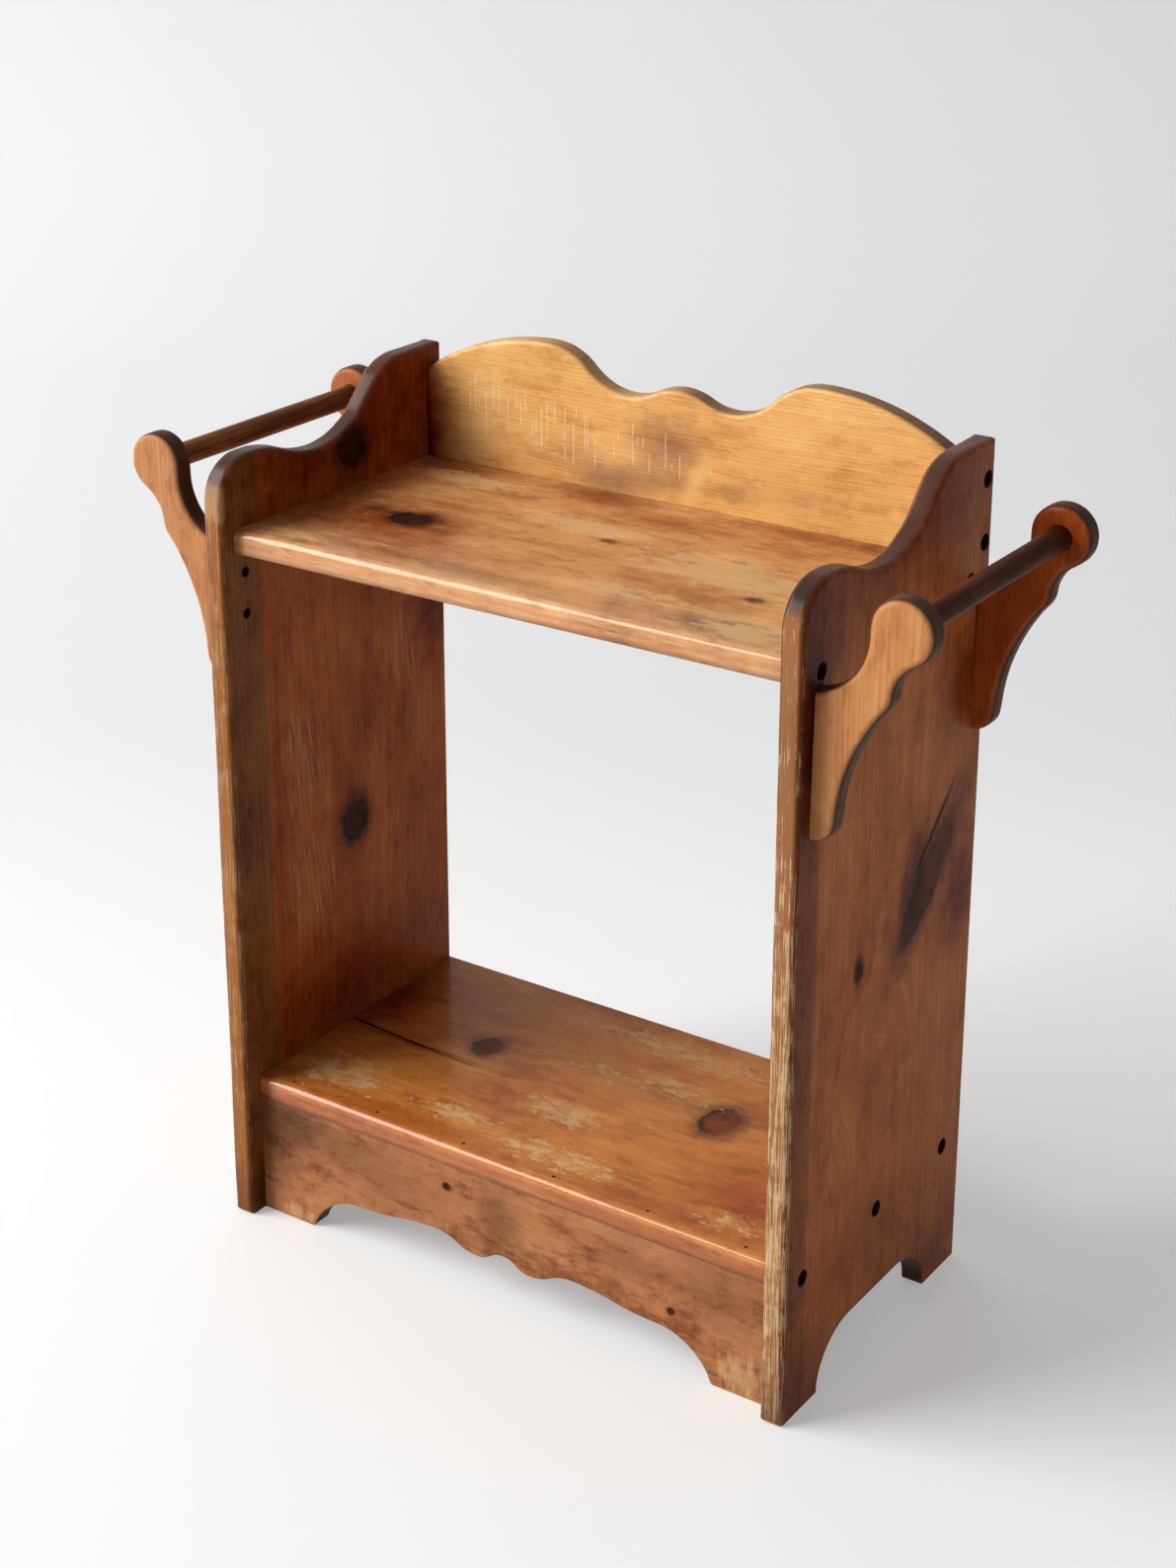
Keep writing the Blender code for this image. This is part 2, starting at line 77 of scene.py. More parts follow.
class Bench:
    def __init__(self, tree):
        self.tree = tree

    def add(self, kind, settings=None, inputs=None, out=0):
        made = self.tree.nodes.new(kind)
        for name, value in (settings or {}).items():
            setattr(made, name, value)
        for key, value in (inputs or {}).items():
            if isinstance(value, Wire):
                self.tree.links.new(value.socket, made.inputs[key])
            else:
                made.inputs[key].default_value = value
        return Wire(self, made.outputs[out]) if made.outputs else made

    def maths(self, operation, *values):
        return self.add("ShaderNodeMath", {"operation": operation}, dict(enumerate(values)))

    def split(self, vector):
        first = self.add("ShaderNodeSeparateXYZ", inputs={0: vector})
        return [Wire(self, socket) for socket in first.socket.node.outputs]

    def join(self, x, y, z):
        return self.add("ShaderNodeCombineXYZ", inputs={0: x, 1: y, 2: z})

    def ease(self, value, low, high):  # 0 at low, 1 at high, soft at both ends
        return self.add(
            "ShaderNodeMapRange",
            {"interpolation_type": "SMOOTHSTEP"},
            {"Value": value, "From Min": low, "From Max": high},
        )

    def cloud(self, vector, detail=2.0, rough=0.5):
        return self.add(
            "ShaderNodeTexNoise",
            inputs={"Vector": vector, "Scale": 1.0, "Detail": detail, "Roughness": rough},
        )

    def blend(self, factor, first, second, mode="MIX"):
        return self.add(
            "ShaderNodeMix",
            {"data_type": "RGBA", "blend_type": mode},
            {0: factor, 6: first, 7: second},
            out=2,
        )

    def coat(self, inputs):
        shader = self.add("ShaderNodeBsdfPrincipled", inputs=inputs)
        self.add("ShaderNodeOutputMaterial", inputs={"Surface": shader})


def freshMaterial(name):
    material = bpy.data.materials.new(name)
    material.use_nodes = True
    material.node_tree.nodes.clear()
    return material, Bench(material.node_tree)


# Stained pine

pineTones = {
    "knotHeart": (0.060, 0.018, 0.008, 1),
    "knotBark": (0.008, 0.003, 0.002, 1),
    "knotHalo": (0.30, 0.16, 0.11, 1),  # this and the next two multiply what is under them
    # this one darkens real marks, and also lays the painted shade at the shelf ends and undersides
    "greyBrown": (0.26, 0.20, 0.17, 1),
    "film": (0.58, 0.45, 0.36, 1),
    "endGrain": (0.058, 0.021, 0.010, 1),
    # near-black painted shade inside holes and splits
    "pit": (0.030, 0.008, 0.003, 1),
    "haze": (0.46, 0.27, 0.14, 1),
    "bare": (0.62, 0.40, 0.19, 1),  # wood where the varnish has come off
    "cream": (0.62, 0.42, 0.23, 1),
    "scratch": (0.95, 0.82, 0.62, 1),
}

# noise fields: scale along the grain, scale across it, detail, roughness, shift
pineFields = {
    "patchy": (9.0, 16.0, 4.0, 0.6, 7.0),
    "blot": (55.0, 70.0, 5.0, 0.65, 41.0),
    "wander": (1.5, 5.0, 1.0, 0.5, 0.0),
    "sway": (2.6, 3.0, 1.0, 0.5, 9.0),
    "fibre": (7.0, 420.0, 4.0, 0.62, 3.0),
    "pores": (45.0, 2100.0, 2.0, 0.5, 5.0),
    "bands": (1.2, 34.0, 2.0, 0.5, 11.0),
    "film": (34.0, 80.0, 8.0, 0.74, 37.0),
    "thin": (40.0, 110.0, 8.0, 0.74, 53.0),
    "lines": (16.0, 800.0, 3.0, 0.6, 61.0),
    "wobble": (190.0, 190.0, 3.0, 0.6, 13.0),
    "grit": (150.0, 150.0, 5.0, 0.7, 67.0),
    "spaces": (40.0, 40.0, 2.0, 0.5, 81.0),
    "breaks": (60.0, 90.0, 3.0, 0.6, 83.0),
    "streaks": (24.0, 1250.0, 5.0, 0.62, 23.0),
    "nose": (30.0, 300.0, 5.0, 0.65, 29.0),
    "scuffs": (260.0, 60.0, 6.0, 0.7, 71.0),
    "rubs": (45.0, 240.0, 6.0, 0.7, 73.0),
}
pineMix = {
    "wander": 0.045, "sway": 0.022,  # how far the rings stray
    "lateRise": (0.25, 0.88), "lateFall": (1.0, 0.93),  # shares of a ring
    "middle": 0.43, "dark": (0.45, 1.0), "light": (0.5, 0.1),
    "film": (-0.04, 0.17), "thin": (0.04, 0.20), "lines": (0.14, 0.26), "linePower": 0.55,
    "bumpDepth": 0.0005, "rough": 0.45, "specular": 0.06,
}
# how far a knot's parts reach, in sizes of the knot: along and across it, or where a part starts and is full
knotReach = {
    "bend": (2.6, 1.9), "flame": (3.6, 2.1),
    "halo": (1.9, 0.95), "core": (1.12, 0.80),
    "barkInside": (0.72, 0.98), "barkOutside": (1.22, 1.02), "crescent": (0.9, -0.7),
    "pull": 0.82,
}


def grown(knot, part):
    return [half * times for half, times in zip(knot["size"], knotReach[part])]


class Pine:
    # one board's material, laid on in layers: grain and knots first, then stains and painted shade, edges and
    # wear
    def __init__(self, name, look):
        self.look = look
        self.material, self.bench = freshMaterial(name)
        xyz = self.bench.split(self.bench.add("ShaderNodeTexCoord", out="Object"))
        self.along, self.across, self.through = (xyz[axisNames.index(a)] for a in look["axes"])
        self.dull = 0.0  # where the varnish no longer shines
        self.shine = 0.0
        self.where = 1.0  # the face that stains, painted shade, flecks and scratches are on
        self.patchy = self.field(*pineFields["patchy"])
        self.blot = self.field(*pineFields["blot"])
        self.sawGrain()
        for knot in look.get("knots", ()):
            self.drawKnot(knot)

    def field(self, alongScale, acrossScale, detail=2.0, rough=0.5, shift=0.0, across=None):
        # noise stretched along the grain, from -0.5 to 0.5
        bench = self.bench
        vector = bench.join(
            self.along * alongScale + (self.look["seed"] + shift),
            (self.across if across is None else across) * acrossScale,
            self.through * acrossScale,
        )
        return bench.cloud(vector, detail, rough) - 0.5

    def spot(self, along, across, longHalf, wideHalf, turn=0.0):
        # distance from a place on the board, 1 at the rim of an ellipse
        du = self.along - along
        dv = self.across - across
        if turn:
            c = math.cos(math.radians(turn))
            s = math.sin(math.radians(turn))
            du, dv = du * c + dv * s, dv * c - du * s
        du = du * (1 / longHalf)
        dv = dv * (1 / wideHalf)
        return self.bench.maths("SQRT", du * du + dv * dv)

    def sawGrain(self):
        bench = self.bench
        look = self.look
        bent = self.across
        for knot in look.get("knots", ()):
            along, across = knot["at"]
            away = self.spot(along, across, *grown(knot, "bend"), knot.get("turn", 0))
            pull = bench.maths("EXPONENT", away * away * -1.0)
            bent = bent - (self.across - across) * (pull * knotReach["pull"])
        wander = self.field(*pineFields["wander"])
        side = bent - look["heart"][0] + wander * pineMix["wander"]
        deep = self.through - look["heart"][1]
        sway = self.field(*pineFields["sway"])
        radius = bench.maths("SQRT", side * side + deep * deep) + sway * pineMix["sway"]
        phase = bench.maths("FRACT", radius * (1 / look["ring"]))
        late = bench.ease(phase, *pineMix["lateRise"]) * bench.ease(phase, *pineMix["lateFall"])
        self.fibre = self.field(*pineFields["fibre"], bent)
        pores = self.field(*pineFields["pores"], bent)
        bands = self.field(*pineFields["bands"], bent)
        tone = (
            late * look["ringPower"]
            + self.fibre * look["fibrePower"]
            + pores * look["porePower"]
            + bands * look["bandPower"]
            + self.patchy * look["patchPower"]
            + pineMix["middle"]
        )
        deepTone = bench.blend(bench.ease(tone, *pineMix["dark"]), look["mid"], look["dark"])
        self.colour = bench.blend(bench.ease(tone, *pineMix["light"]), deepTone, look["light"])
        film = self.field(*pineFields["film"]) + self.patchy * 0.6
        self.shade(bench.ease(film, *pineMix["film"]) * look["film"], pineTones["film"])
        thin = self.field(*pineFields["thin"]) - self.patchy * 0.6
        self.tint(bench.ease(thin, *pineMix["thin"]) * look["thin"], look["light"])
        lines = self.field(*pineFields["lines"], bent)
        self.shade(bench.ease(lines, *pineMix["lines"]) * pineMix["linePower"])
        self.height = self.fibre * 0.5 + late * 0.25 + pores * 0.25

    def tint(self, mask, colour):
        self.colour = self.bench.blend(mask, self.colour, colour)

    def shade(self, mask, colour=pineTones["greyBrown"]):
        # multiplies what is under it
        self.colour = self.bench.blend(mask, self.colour, colour, "MULTIPLY")

    def drawKnot(self, knot):
        bench = self.bench
        along, across = knot["at"]
        longHalf, wideHalf = knot["size"]
        turn = knot.get("turn", 0)
        dark = knot.get("dark", 0.95)
        wobble = self.blot + self.field(*pineFields["wobble"]) * 0.5
        reach = self.spot(along, across, longHalf, wideHalf, turn) + wobble * 0.75
        flame = self.spot(along, across, *grown(knot, "flame"), turn)
        flame = flame + self.fibre * 0.9 + wobble * 0.4
        self.shade(bench.ease(flame, 1.0, 0.1) * knot.get("halo", 0.8), pineTones["knotHalo"])
        self.shade(bench.ease(reach, *knotReach["halo"]) * 0.8 * dark, pineTones["knotHalo"])
        grit = self.field(*pineFields["grit"])
        burnt = bench.ease(grit, -0.10, 0.14) * knot.get("burnt", 1.0)
        heart = bench.blend(burnt, knot.get("heart", pineTones["knotHeart"]), pineTones["knotBark"])
        core = bench.ease(reach, *knotReach["core"]) * dark
        self.tint(core, heart)
        bark = bench.ease(reach, *knotReach["barkInside"]) * bench.ease(reach, *knotReach["barkOutside"])
        crescent = bench.ease(self.along - along, *(longHalf * times for times in knotReach["crescent"]))
        self.tint(bark * crescent * dark, pineTones["knotBark"])
        self.dull = bench.maths("MAXIMUM", self.dull, core * 0.8)

    def stainAndShade(self, places, colour=pineTones["greyBrown"], ragged=1.0):
        # dark clouds with ragged edges, each (along, across, long, wide, power): stains, and on some boards
        # painted shade
        rough = (self.patchy * 1.3 + self.blot * 1.1 + self.fibre * 0.5) * ragged
        for along, across, longHalf, wideHalf, power in places:
            away = self.spot(along, across, longHalf, wideHalf) + rough
            self.shade(self.bench.ease(away, 1.15, 0.0) * (self.where * power), colour)

    def region(self, places):
        # how worn each place of a board is, from 0 to 1
        worst = None
        for along, across, longHalf, wideHalf, power in places:
            here = self.bench.ease(self.spot(along, across, longHalf, wideHalf), 1.25, 0.1) * power
            worst = here if worst is None else self.bench.maths("MAXIMUM", worst, here)
        return worst

    def wear(
        self, places, scales, lean=0.0, gain=0.3, limit=0.8, soft=0.045, power=0.8,
        colour=pineTones["bare"], shift=17.0,
    ):
        # varnish rubbed off in flecks or strokes, thickest in the middle of each place
        leaning = self.across + self.along * lean if lean else None
        speck = self.field(scales[0], scales[1], 7.0, 0.68, shift, leaning) + 0.5
        mask = self.bench.ease(speck + self.region(places) * gain, limit - soft, limit + soft)
        self.rub(mask * (self.where * power), colour)

    def between(self, value, low, high, soft):
        # 1 from low to high, rising and falling over a short way inside them
        return self.bench.ease(value, low, low + soft) * self.bench.ease(value, high, high - soft)

    def scratch(self, marks):
        # thin pale lines across the grain, one to a space, each with its own place and ends
        bench = self.bench
        spaces = self.along * (1 / marks["spacing"]) + self.field(*pineFields["spaces"]) * 0.15
        toss = bench.add(
            "ShaderNodeTexWhiteNoise",
            {"noise_dimensions": "1D"},
            {"W": bench.maths("FLOOR", spaces)},
            out="Color",
        )
        first, second, third = bench.split(toss)
        away = bench.maths("ABSOLUTE", bench.maths("FRACT", spaces) - (first * 0.7 + 0.15))
        reach = marks["high"] - marks["low"]
        low = second * (reach * 0.6) + marks["low"]
        high = marks["high"] - third * (reach * 0.4) - (self.along - marks["from"]) * marks["slope"]
        line = bench.ease(away, *marks["thin"]) * self.between(self.across, low, high, marks["tips"])
        line = line * self.between(self.along, marks["from"], marks["to"], marks["sides"])
        broken = bench.ease(self.field(*pineFields["breaks"]), -0.20, -0.02)
        self.rub(line * broken * (self.where * marks["power"]), pineTones["scratch"])

    def rub(self, mask, colour=pineTones["bare"]):
        self.tint(mask, colour)
        self.dull = self.bench.maths("MAXIMUM", self.dull, mask)

    def rim(self, centre, half, roundOver):
        # 0 on the flat faces, 1 on the edge of the board
        depth = self.bench.maths("ABSOLUTE", self.through - centre)
        return self.bench.ease(depth, half - 0.0003, half - roundOver)

    def darken(self, mask, colour=pineTones["endGrain"]):
        # sawn edges, dark and without shine; in holes and splits the near-black is painted shade
        self.tint(mask, colour)
        self.dull = self.bench.maths("MAXIMUM", self.dull, mask * 0.5)

    def finish(self):
        bench = self.bench
        look = self.look
        bump = bench.add(
            "ShaderNodeBump",
            inputs={
                "Strength": look["bump"],
                "Distance": pineMix["bumpDepth"],
                "Height": self.height - self.dull * 0.5,
            },
        )
        bench.coat({
            "Base Color": self.colour,
            "Roughness": self.patchy * 0.16 + self.fibre * 0.12 + self.dull * 0.2 + pineMix["rough"],
            "Specular IOR Level": pineMix["specular"],
            "Coat Weight": (1 - self.dull) * look["coat"] + self.shine,
            "Coat Roughness": look["coatRough"],
            "Normal": bump,
        })
        return self.material


# Boards: outline, rounding and holes come from each solid, and its facets are made curves again

boardCut = {
    "snap": 0.00002,
    "straightFrom": 0.025,  # longer runs of an outline are straight, shorter ones belong to a curve
    "corner": math.radians(55),
    "curveStep": 0.0025,
    "straightStep": 0.009,
    "roundSteps": 6,
    "holeSides": 32,
    "holeMouth": 0.0004,  # chamfer round a hole
    "sharp": math.radians(48),
    "touch": 0.0001,  # closer than this counts as on a face
    "leastRound": 0.0005,  # smaller rounding is not worn
    "wander": 23,
    "ripple": 140,
    "rippleShare": 0.4,
    "weld": 2e-6,
    "thinnest": 1e-6,
    "meet": 1e-7,
    "tilt": 0.01,  # how far out of square a wall may stand
    "sharpest": 0.5,  # limit to the mitre at a corner
}


def joinNearest(runs):
    # puts the two runs whose ends lie closest together into one
    pairs = []
    for i, first in enumerate(runs):
        for j, second in enumerate(runs[:i]):
            for a in (first, first[::-1]):
                for b in (second, second[::-1]):
                    pairs.append(((Vector(a[-1][:2]) - Vector(b[0][:2])).length, i, j, a + b))
    i, j, whole = min(pairs, key=lambda pair: pair[0])[1:]
    return [run for k, run in enumerate(runs) if k not in (i, j)] + [whole]


def traceWalls(node, flat, through, drilled):
    # runs round the walls that stand square to a board's face; a point is [across, up, lowest, highest]
    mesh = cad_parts[node].data
    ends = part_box(node)
    cells, points, links = {}, [], {}

    def pointAt(co):
        cell = [round(co[axis] / boardCut["snap"]) for axis in flat]
        near = [(cell[0] + da, cell[1] + db) for da in (0, -1, 1) for db in (0, -1, 1)]
        for key in near:
            if key in cells:
                return cells[key]
        cells[near[0]] = len(points)
        points.append([co[flat[0]], co[flat[1]], co[through], co[through]])
        return len(points) - 1

    for face in mesh.polygons:
        if abs(face.normal[through]) > boardCut["tilt"]:
            continue
        if any(
            abs(face.center[axis] - ends[end][axis]) < boardCut["touch"]
            and abs(face.normal[axis]) > 1 - boardCut["tilt"]
            for axis, end in drilled
        ):
            continue  # a wall with screws in it is straight, and is closed again below
        found = []
        for index in face.vertices:
            co = mesh.vertices[index].co
            here = pointAt(co)
            points[here][2] = min(points[here][2], co[through])
            points[here][3] = max(points[here][3], co[through])
            if here not in found:
                found.append(here)
        if len(found) == 2:
            links.setdefault(found[0], []).append(found[1])
            links.setdefault(found[1], []).append(found[0])

    def walk(start):
        path = [start]
        while True:
            onward = [p for p in links[path[-1]] if p not in path[-2:]]
            if not onward or onward[0] == start:
                return path, bool(onward)
            path.append(onward[0])

    def onBox(index):
        return any(
            abs(points[index][k] - corner[axis]) < boardCut["touch"]
            for k, axis in enumerate(flat)
            for corner in ends
        )

    def gap(first, second):
        return (Vector(points[first][:2]) - Vector(points[second][:2])).length

    loops, runs, done = [], [], set()
    loose = sorted(p for p in links if len(set(links[p])) == 1)
    for start in loose + sorted(links):
        if start in done:
            continue
        path, closed = walk(start)
        done.update(path)
        if closed:
            loops.append([points[p] for p in path])
        elif onBox(path[0]) and onBox(path[-1]) and gap(path[0], path[-1]) > boardCut["straightFrom"]:
            runs.append([points[p] for p in path])
    if runs:
        owner = {id(point): k for k, run in enumerate(runs) for point in run}
        while len(runs) > 1:
            runs = joinNearest(runs)
        outline = runs[0]
        joints = [k for k, p in enumerate(outline) if k == 0 or owner[id(p)] != owner[id(outline[k - 1])]]
        return outline, loops, joints
    loops.sort(key=lambda loop: min(p[0] for p in loop) - max(p[0] for p in loop))
    return loops[0], loops[1:], []


def smoothOutline(loop, joints):
    # arcs through the facets' corners, straight lines kept; gives place, way in, lowest, highest
    count = len(loop)
    flat = [Vector(point[:2]) for point in loop]
    area = sum(flat[i - 1].x * flat[i].y - flat[i].x * flat[i - 1].y for i in range(count))
    sense = 1 if area > 0 else -1
    runs = [flat[(i + 1) % count] - flat[i] for i in range(count)]
    straight = [run.length > boardCut["straightFrom"] for run in runs]
    tangents = []
    for i in range(count):
        before, after = runs[i - 1].normalized(), runs[i].normalized()
        if before.angle(after) > boardCut["corner"] or (straight[i - 1] and straight[i]):
            tangents.append(None)
        elif straight[i - 1]:
            tangents.append(before)
        elif straight[i]:
            tangents.append(after)
        else:
            tangents.append((before * runs[i].length + after * runs[i - 1].length).normalized())
    fine, square = [], []
    for i in range(count):
        j = (i + 1) % count
        run = runs[i]
        chord = run.normalized()
        leave, arrive = tangents[i], tangents[j]
        if straight[i] or (leave is None and arrive is None):
            leave = arrive = chord
        elif leave is None:
            leave = 2 * chord.dot(arrive) * chord - arrive
        elif arrive is None:
            arrive = 2 * chord.dot(leave) * chord - leave
        step = boardCut["straightStep" if straight[i] else "curveStep"]
        pieces = 1 if j in joints else max(1, math.ceil(run.length / step))
        for k in range(pieces):
            t = k / pieces
            here = (
                flat[i] * (2 * t**3 - 3 * t**2 + 1)
                + flat[j] * (3 * t**2 - 2 * t**3)
                + leave * (run.length * (t**3 - 2 * t**2 + t))
                + arrive * (run.length * (t**3 - t**2))
            )
            low = loop[i][2] + (loop[j][2] - loop[i][2]) * t
            high = loop[i][3] + (loop[j][3] - loop[i][3]) * t
            fine.append((here, low, high))
            starts, stops = k == 0 and i in joints, k == 0 and j in joints
            square.append("after" if starts else "before" if stops else "")
    points = []
    for i, (here, low, high) in enumerate(fine):
        before = (here - fine[i - 1][0]).normalized()
        after = (fine[(i + 1) % len(fine)][0] - here).normalized()
        if square[i]:  # an end that meets another board is cut off flat
            before = after = after if square[i] == "after" else before
        middle = (before + after).normalized()
        way = Vector((-middle.y, middle.x)) * sense / max(boardCut["sharpest"], middle.dot(after))
        points.append((here, way, low, high))
    return points


def measureHole(loop, bottom, top):
    # centre, radius, the face that the hole opens on and its depth
    centre = sum((Vector(point[:2]) for point in loop), Vector((0, 0))) / len(loop)
    radius = max((Vector(point[:2]) - centre).length for point in loop)
    low = min(point[2] for point in loop)
    high = max(point[3] for point in loop)
    onTop = high > top - boardCut["touch"]
    return centre, radius, onTop, (top - low if onTop else high - bottom)


def holds(loop, spot):
    # whether a place lies inside a loop
    inside = False
    for first, second in zip(loop, loop[1:] + loop[:1]):
        if (first.y > spot.y) != (second.y > spot.y):
            x = first.x + (second.x - first.x) * (spot.y - first.y) / (second.y - first.y)
            inside ^= spot.x < x
    return inside


def circleOf(centre, radius):
    sides = boardCut["holeSides"]
    turns = [math.tau * k / sides for k in range(sides)]
    return [centre + Vector((math.cos(a), math.sin(a))) * radius for a in turns]


def stitch(bm, first, second):
    for i in range(len(first)):
        bm.faces.new((first[i - 1], first[i], second[i], second[i - 1]))


def closeSkin(bm, name, sharp):
    # a smooth piece, with hard edges where its faces meet at more than the angle
    bmesh.ops.recalc_face_normals(bm, faces=bm.faces)
    mesh = bpy.data.meshes.new(name)
    bm.to_mesh(mesh)
    bm.free()
    mesh.shade_smooth()
    mesh.set_sharp_from_angle(angle=sharp)
    return settle(name, mesh, weighted=True)


def cutBoard(name, node, axes, drilled=(), smallest=0.0035, wornEdge=0.18, cracks=(), fullHoles=0.006):
    # axes: the two of the board's face, then the one through it
    flat = [axisNames.index(a) for a in axes[:2]]
    through = axisNames.index(axes[2])
    drilledWalls = [(axisNames.index(wall[0]), int(wall[1] == "+")) for wall in drilled]
    outline, loops, joints = traceWalls(node, flat, through, drilledWalls)
    bottom, top = (corner[through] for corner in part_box(node))
    fine = smoothOutline(outline, joints)
    bm = bmesh.new()

    def put(spot, depth):
        co = [0.0, 0.0, 0.0]
        co[flat[0]], co[flat[1]], co[through] = spot.x, spot.y, depth
        return bm.verts.new(co)

    def worn(radius, spot):
        if radius < boardCut["leastRound"]:
            return radius
        slow, quick = boardCut["wander"], boardCut["ripple"]
        wander = noise.noise(Vector((spot.x * slow, spot.y * slow, top * 50)))
        ripple = noise.noise(Vector((spot.x * quick, spot.y * quick, top * 90)))
        return radius * (1 + wornEdge * (wander + boardCut["rippleShare"] * ripple))

    rings = []
    steps = boardCut["roundSteps"]
    turns = [math.pi / 2 * k / steps for k in range(steps + 1)]
    upper = [(spot, way, worn(max(0.0, top - high), spot)) for spot, way, low, high in fine]
    lower = [(spot, way, worn(max(0.0, low - bottom), spot)) for spot, way, low, high in fine]
    for turn in turns:
        inset, drop = 1 - math.sin(turn), 1 - math.cos(turn)
        rings.append([put(spot + way * r * inset, top - r * drop) for spot, way, r in upper])
    for turn in reversed(turns):
        inset, drop = 1 - math.sin(turn), 1 - math.cos(turn)
        rings.append([put(spot + way * r * inset, bottom + r * drop) for spot, way, r in lower])
    for first, second in zip(rings, rings[1:]):
        stitch(bm, first, second)

    mouths = {True: [rings[0]], False: [rings[-1]]}
    holes = []
    for loop in loops:
        centre, radius, onTop, depth = measureHole(loop, bottom, top)
        if radius < smallest:
            continue
        face = top if onTop else bottom
        inner = -1 if onTop else 1
        lip = boardCut["holeMouth"]
        depth = min(depth, fullHoles)
        circles = [
            [put(p, face + inner * d) for p in circleOf(centre, r)]
            for r, d in ((radius + lip, 0), (radius, lip), (radius, depth))
        ]
        stitch(bm, circles[0], circles[1])
        stitch(bm, circles[1], circles[2])
        bm.faces.new(circles[2])
        mouths[onTop].append(circles[0])
        holes.append((centre, radius + lip))
    for crack in cracks:
        lipLoop = [put(Vector(p), top) for p in crack["lip"]]
        rootLoop = [put(Vector(p), top - crack["depth"]) for p in crack["root"]]
        stitch(bm, lipLoop, rootLoop)
        bm.faces.new(rootLoop)
        mouths[True].append(lipLoop)
    for loopsOfFace in mouths.values():
        verts = [v for loop in loopsOfFace for v in loop]
        spots = [Vector((v.co[flat[0]], v.co[flat[1]])) for v in verts]
        edges, first = [], 0
        for loop in loopsOfFace:
            edges += [(first + i, first + (i + 1) % len(loop)) for i in range(len(loop))]
            first += len(loop)
        found = delaunay_2d_cdt(spots, edges, [], 1, boardCut["meet"])
        origins = [names[0] for names in found[3]]
        openings, first = [], len(loopsOfFace[0])
        for loop in loopsOfFace[1:]:
            openings.append(spots[first:first + len(loop)])
            first += len(loop)
        for corners in found[2]:
            middle = sum((spots[origins[c]] for c in corners), Vector((0, 0))) / 3
            if not any(holds(opening, middle) for opening in openings):
                bm.faces.new([verts[origins[c]] for c in corners])

    bmesh.ops.remove_doubles(bm, verts=bm.verts, dist=boardCut["weld"])
    bmesh.ops.dissolve_degenerate(bm, edges=bm.edges, dist=boardCut["thinnest"])
    return closeSkin(bm, name, boardCut["sharp"]), holes


def settle(name, mesh, weighted=False, nodes=None):
    # runs the modifiers and keeps their result as a plain mesh
    rough = bpy.data.objects.new(name + "Rough", mesh)
    scene.collection.objects.link(rough)
    if weighted:
        normals = rough.modifiers.new("normals", "WEIGHTED_NORMAL")
        normals.keep_sharp = True
    if nodes:
        tree, values = nodes
        maker = rough.modifiers.new("nodes", "NODES")
        maker.node_group = tree
        for item in tree.interface.items_tree:
            if item.name in values:
                maker[item.identifier] = values[item.name]
    evaluated = rough.evaluated_get(bpy.context.evaluated_depsgraph_get())
    final = bpy.data.meshes.new_from_object(evaluated)
    bpy.data.objects.remove(rough)
    final.name = name
    piece = bpy.data.objects.new(name, final)
    scene.collection.objects.link(piece)
    return piece


def dress(piece, material, body, slot, *nodes):
    if material:
        piece.data.materials.clear()
        piece.data.materials.append(material)
    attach(piece, body)
    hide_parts(*nodes)


def middleOf(node, axis):
    low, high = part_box(node)
    k = axisNames.index(axis)
    return (low[k] + high[k]) / 2, (high[k] - low[k]) / 2


# Side panels: grain upright, edges rubbed pale at the front and dark along the sawn top

sideWood = {
    "axes": "ZYX", "ringPower": 0.12, "porePower": 0.35, "bandPower": 0.60,
    "film": 0.65, "thin": 0.35,
    "coat": 0.05, "coatRough": 0.25, "bump": 0.35,
    "rim": 0.005,
}
leftSide = {
    **sideWood,
    "seed": 3.1, "heart": (0.02, -0.33), "ring": 0.0062, "fibrePower": 0.75, "patchPower": 0.70,
    "light": (0.507, 0.165, 0.036, 1), "mid": (0.367, 0.093, 0.0174, 1), "dark": (0.177, 0.039, 0.0085, 1),
    "knots": [
        {"at": (0.6468, 0.0200), "size": (0.0150, 0.0165), "halo": 0.5},
        {"at": (0.3143, 0.0110), "size": (0.0175, 0.0170), "halo": 0.9},
    ],
    "strip": (-0.0975, (0.66, 0.92, 1.12, 1)),  # a line down the grain near the front, and the tint before it
    # dark patches: stain, and painted shade over the upper part of the inner face and along its back edge
    "darkPatches": [
        (0.69, 0.02, 0.15, 0.2, 1.0), (0.68, -0.06, 0.06, 0.08, 0.8), (0.16, -0.02, 0.07, 0.15, 0.8),
        (0.48, 0.125, 0.065, 0.042, 1.0), (0.35, -0.086, 0.3, 0.016, 0.4),
    ],
    "patchTone": (0.38, 0.14, 0.07, 1),
    "strokes": [
        (0.385, -0.055, 0.11, 0.06, 1.0), (0.27, -0.05, 0.1, 0.07, 0.95),
        (0.45, 0.08, 0.07, 0.04, 0.95),
    ],
    "pale": [(0.35, -0.143, 0.4, 0.05, 0.5), (0.638, -0.143, 0.022, 0.05, 2.0)],
    "edge": (0.35, 0.125, 0.034, 1), "edgeWear": 0.36, "grime": 0.050,
    "farTone": (0.66, 0.86, 1.5, 1),  # for the face turned to -X, which has no stains; the +X face's deeper red stands partly for warm light bounced off the wood, painted in, and this tone takes it back
}
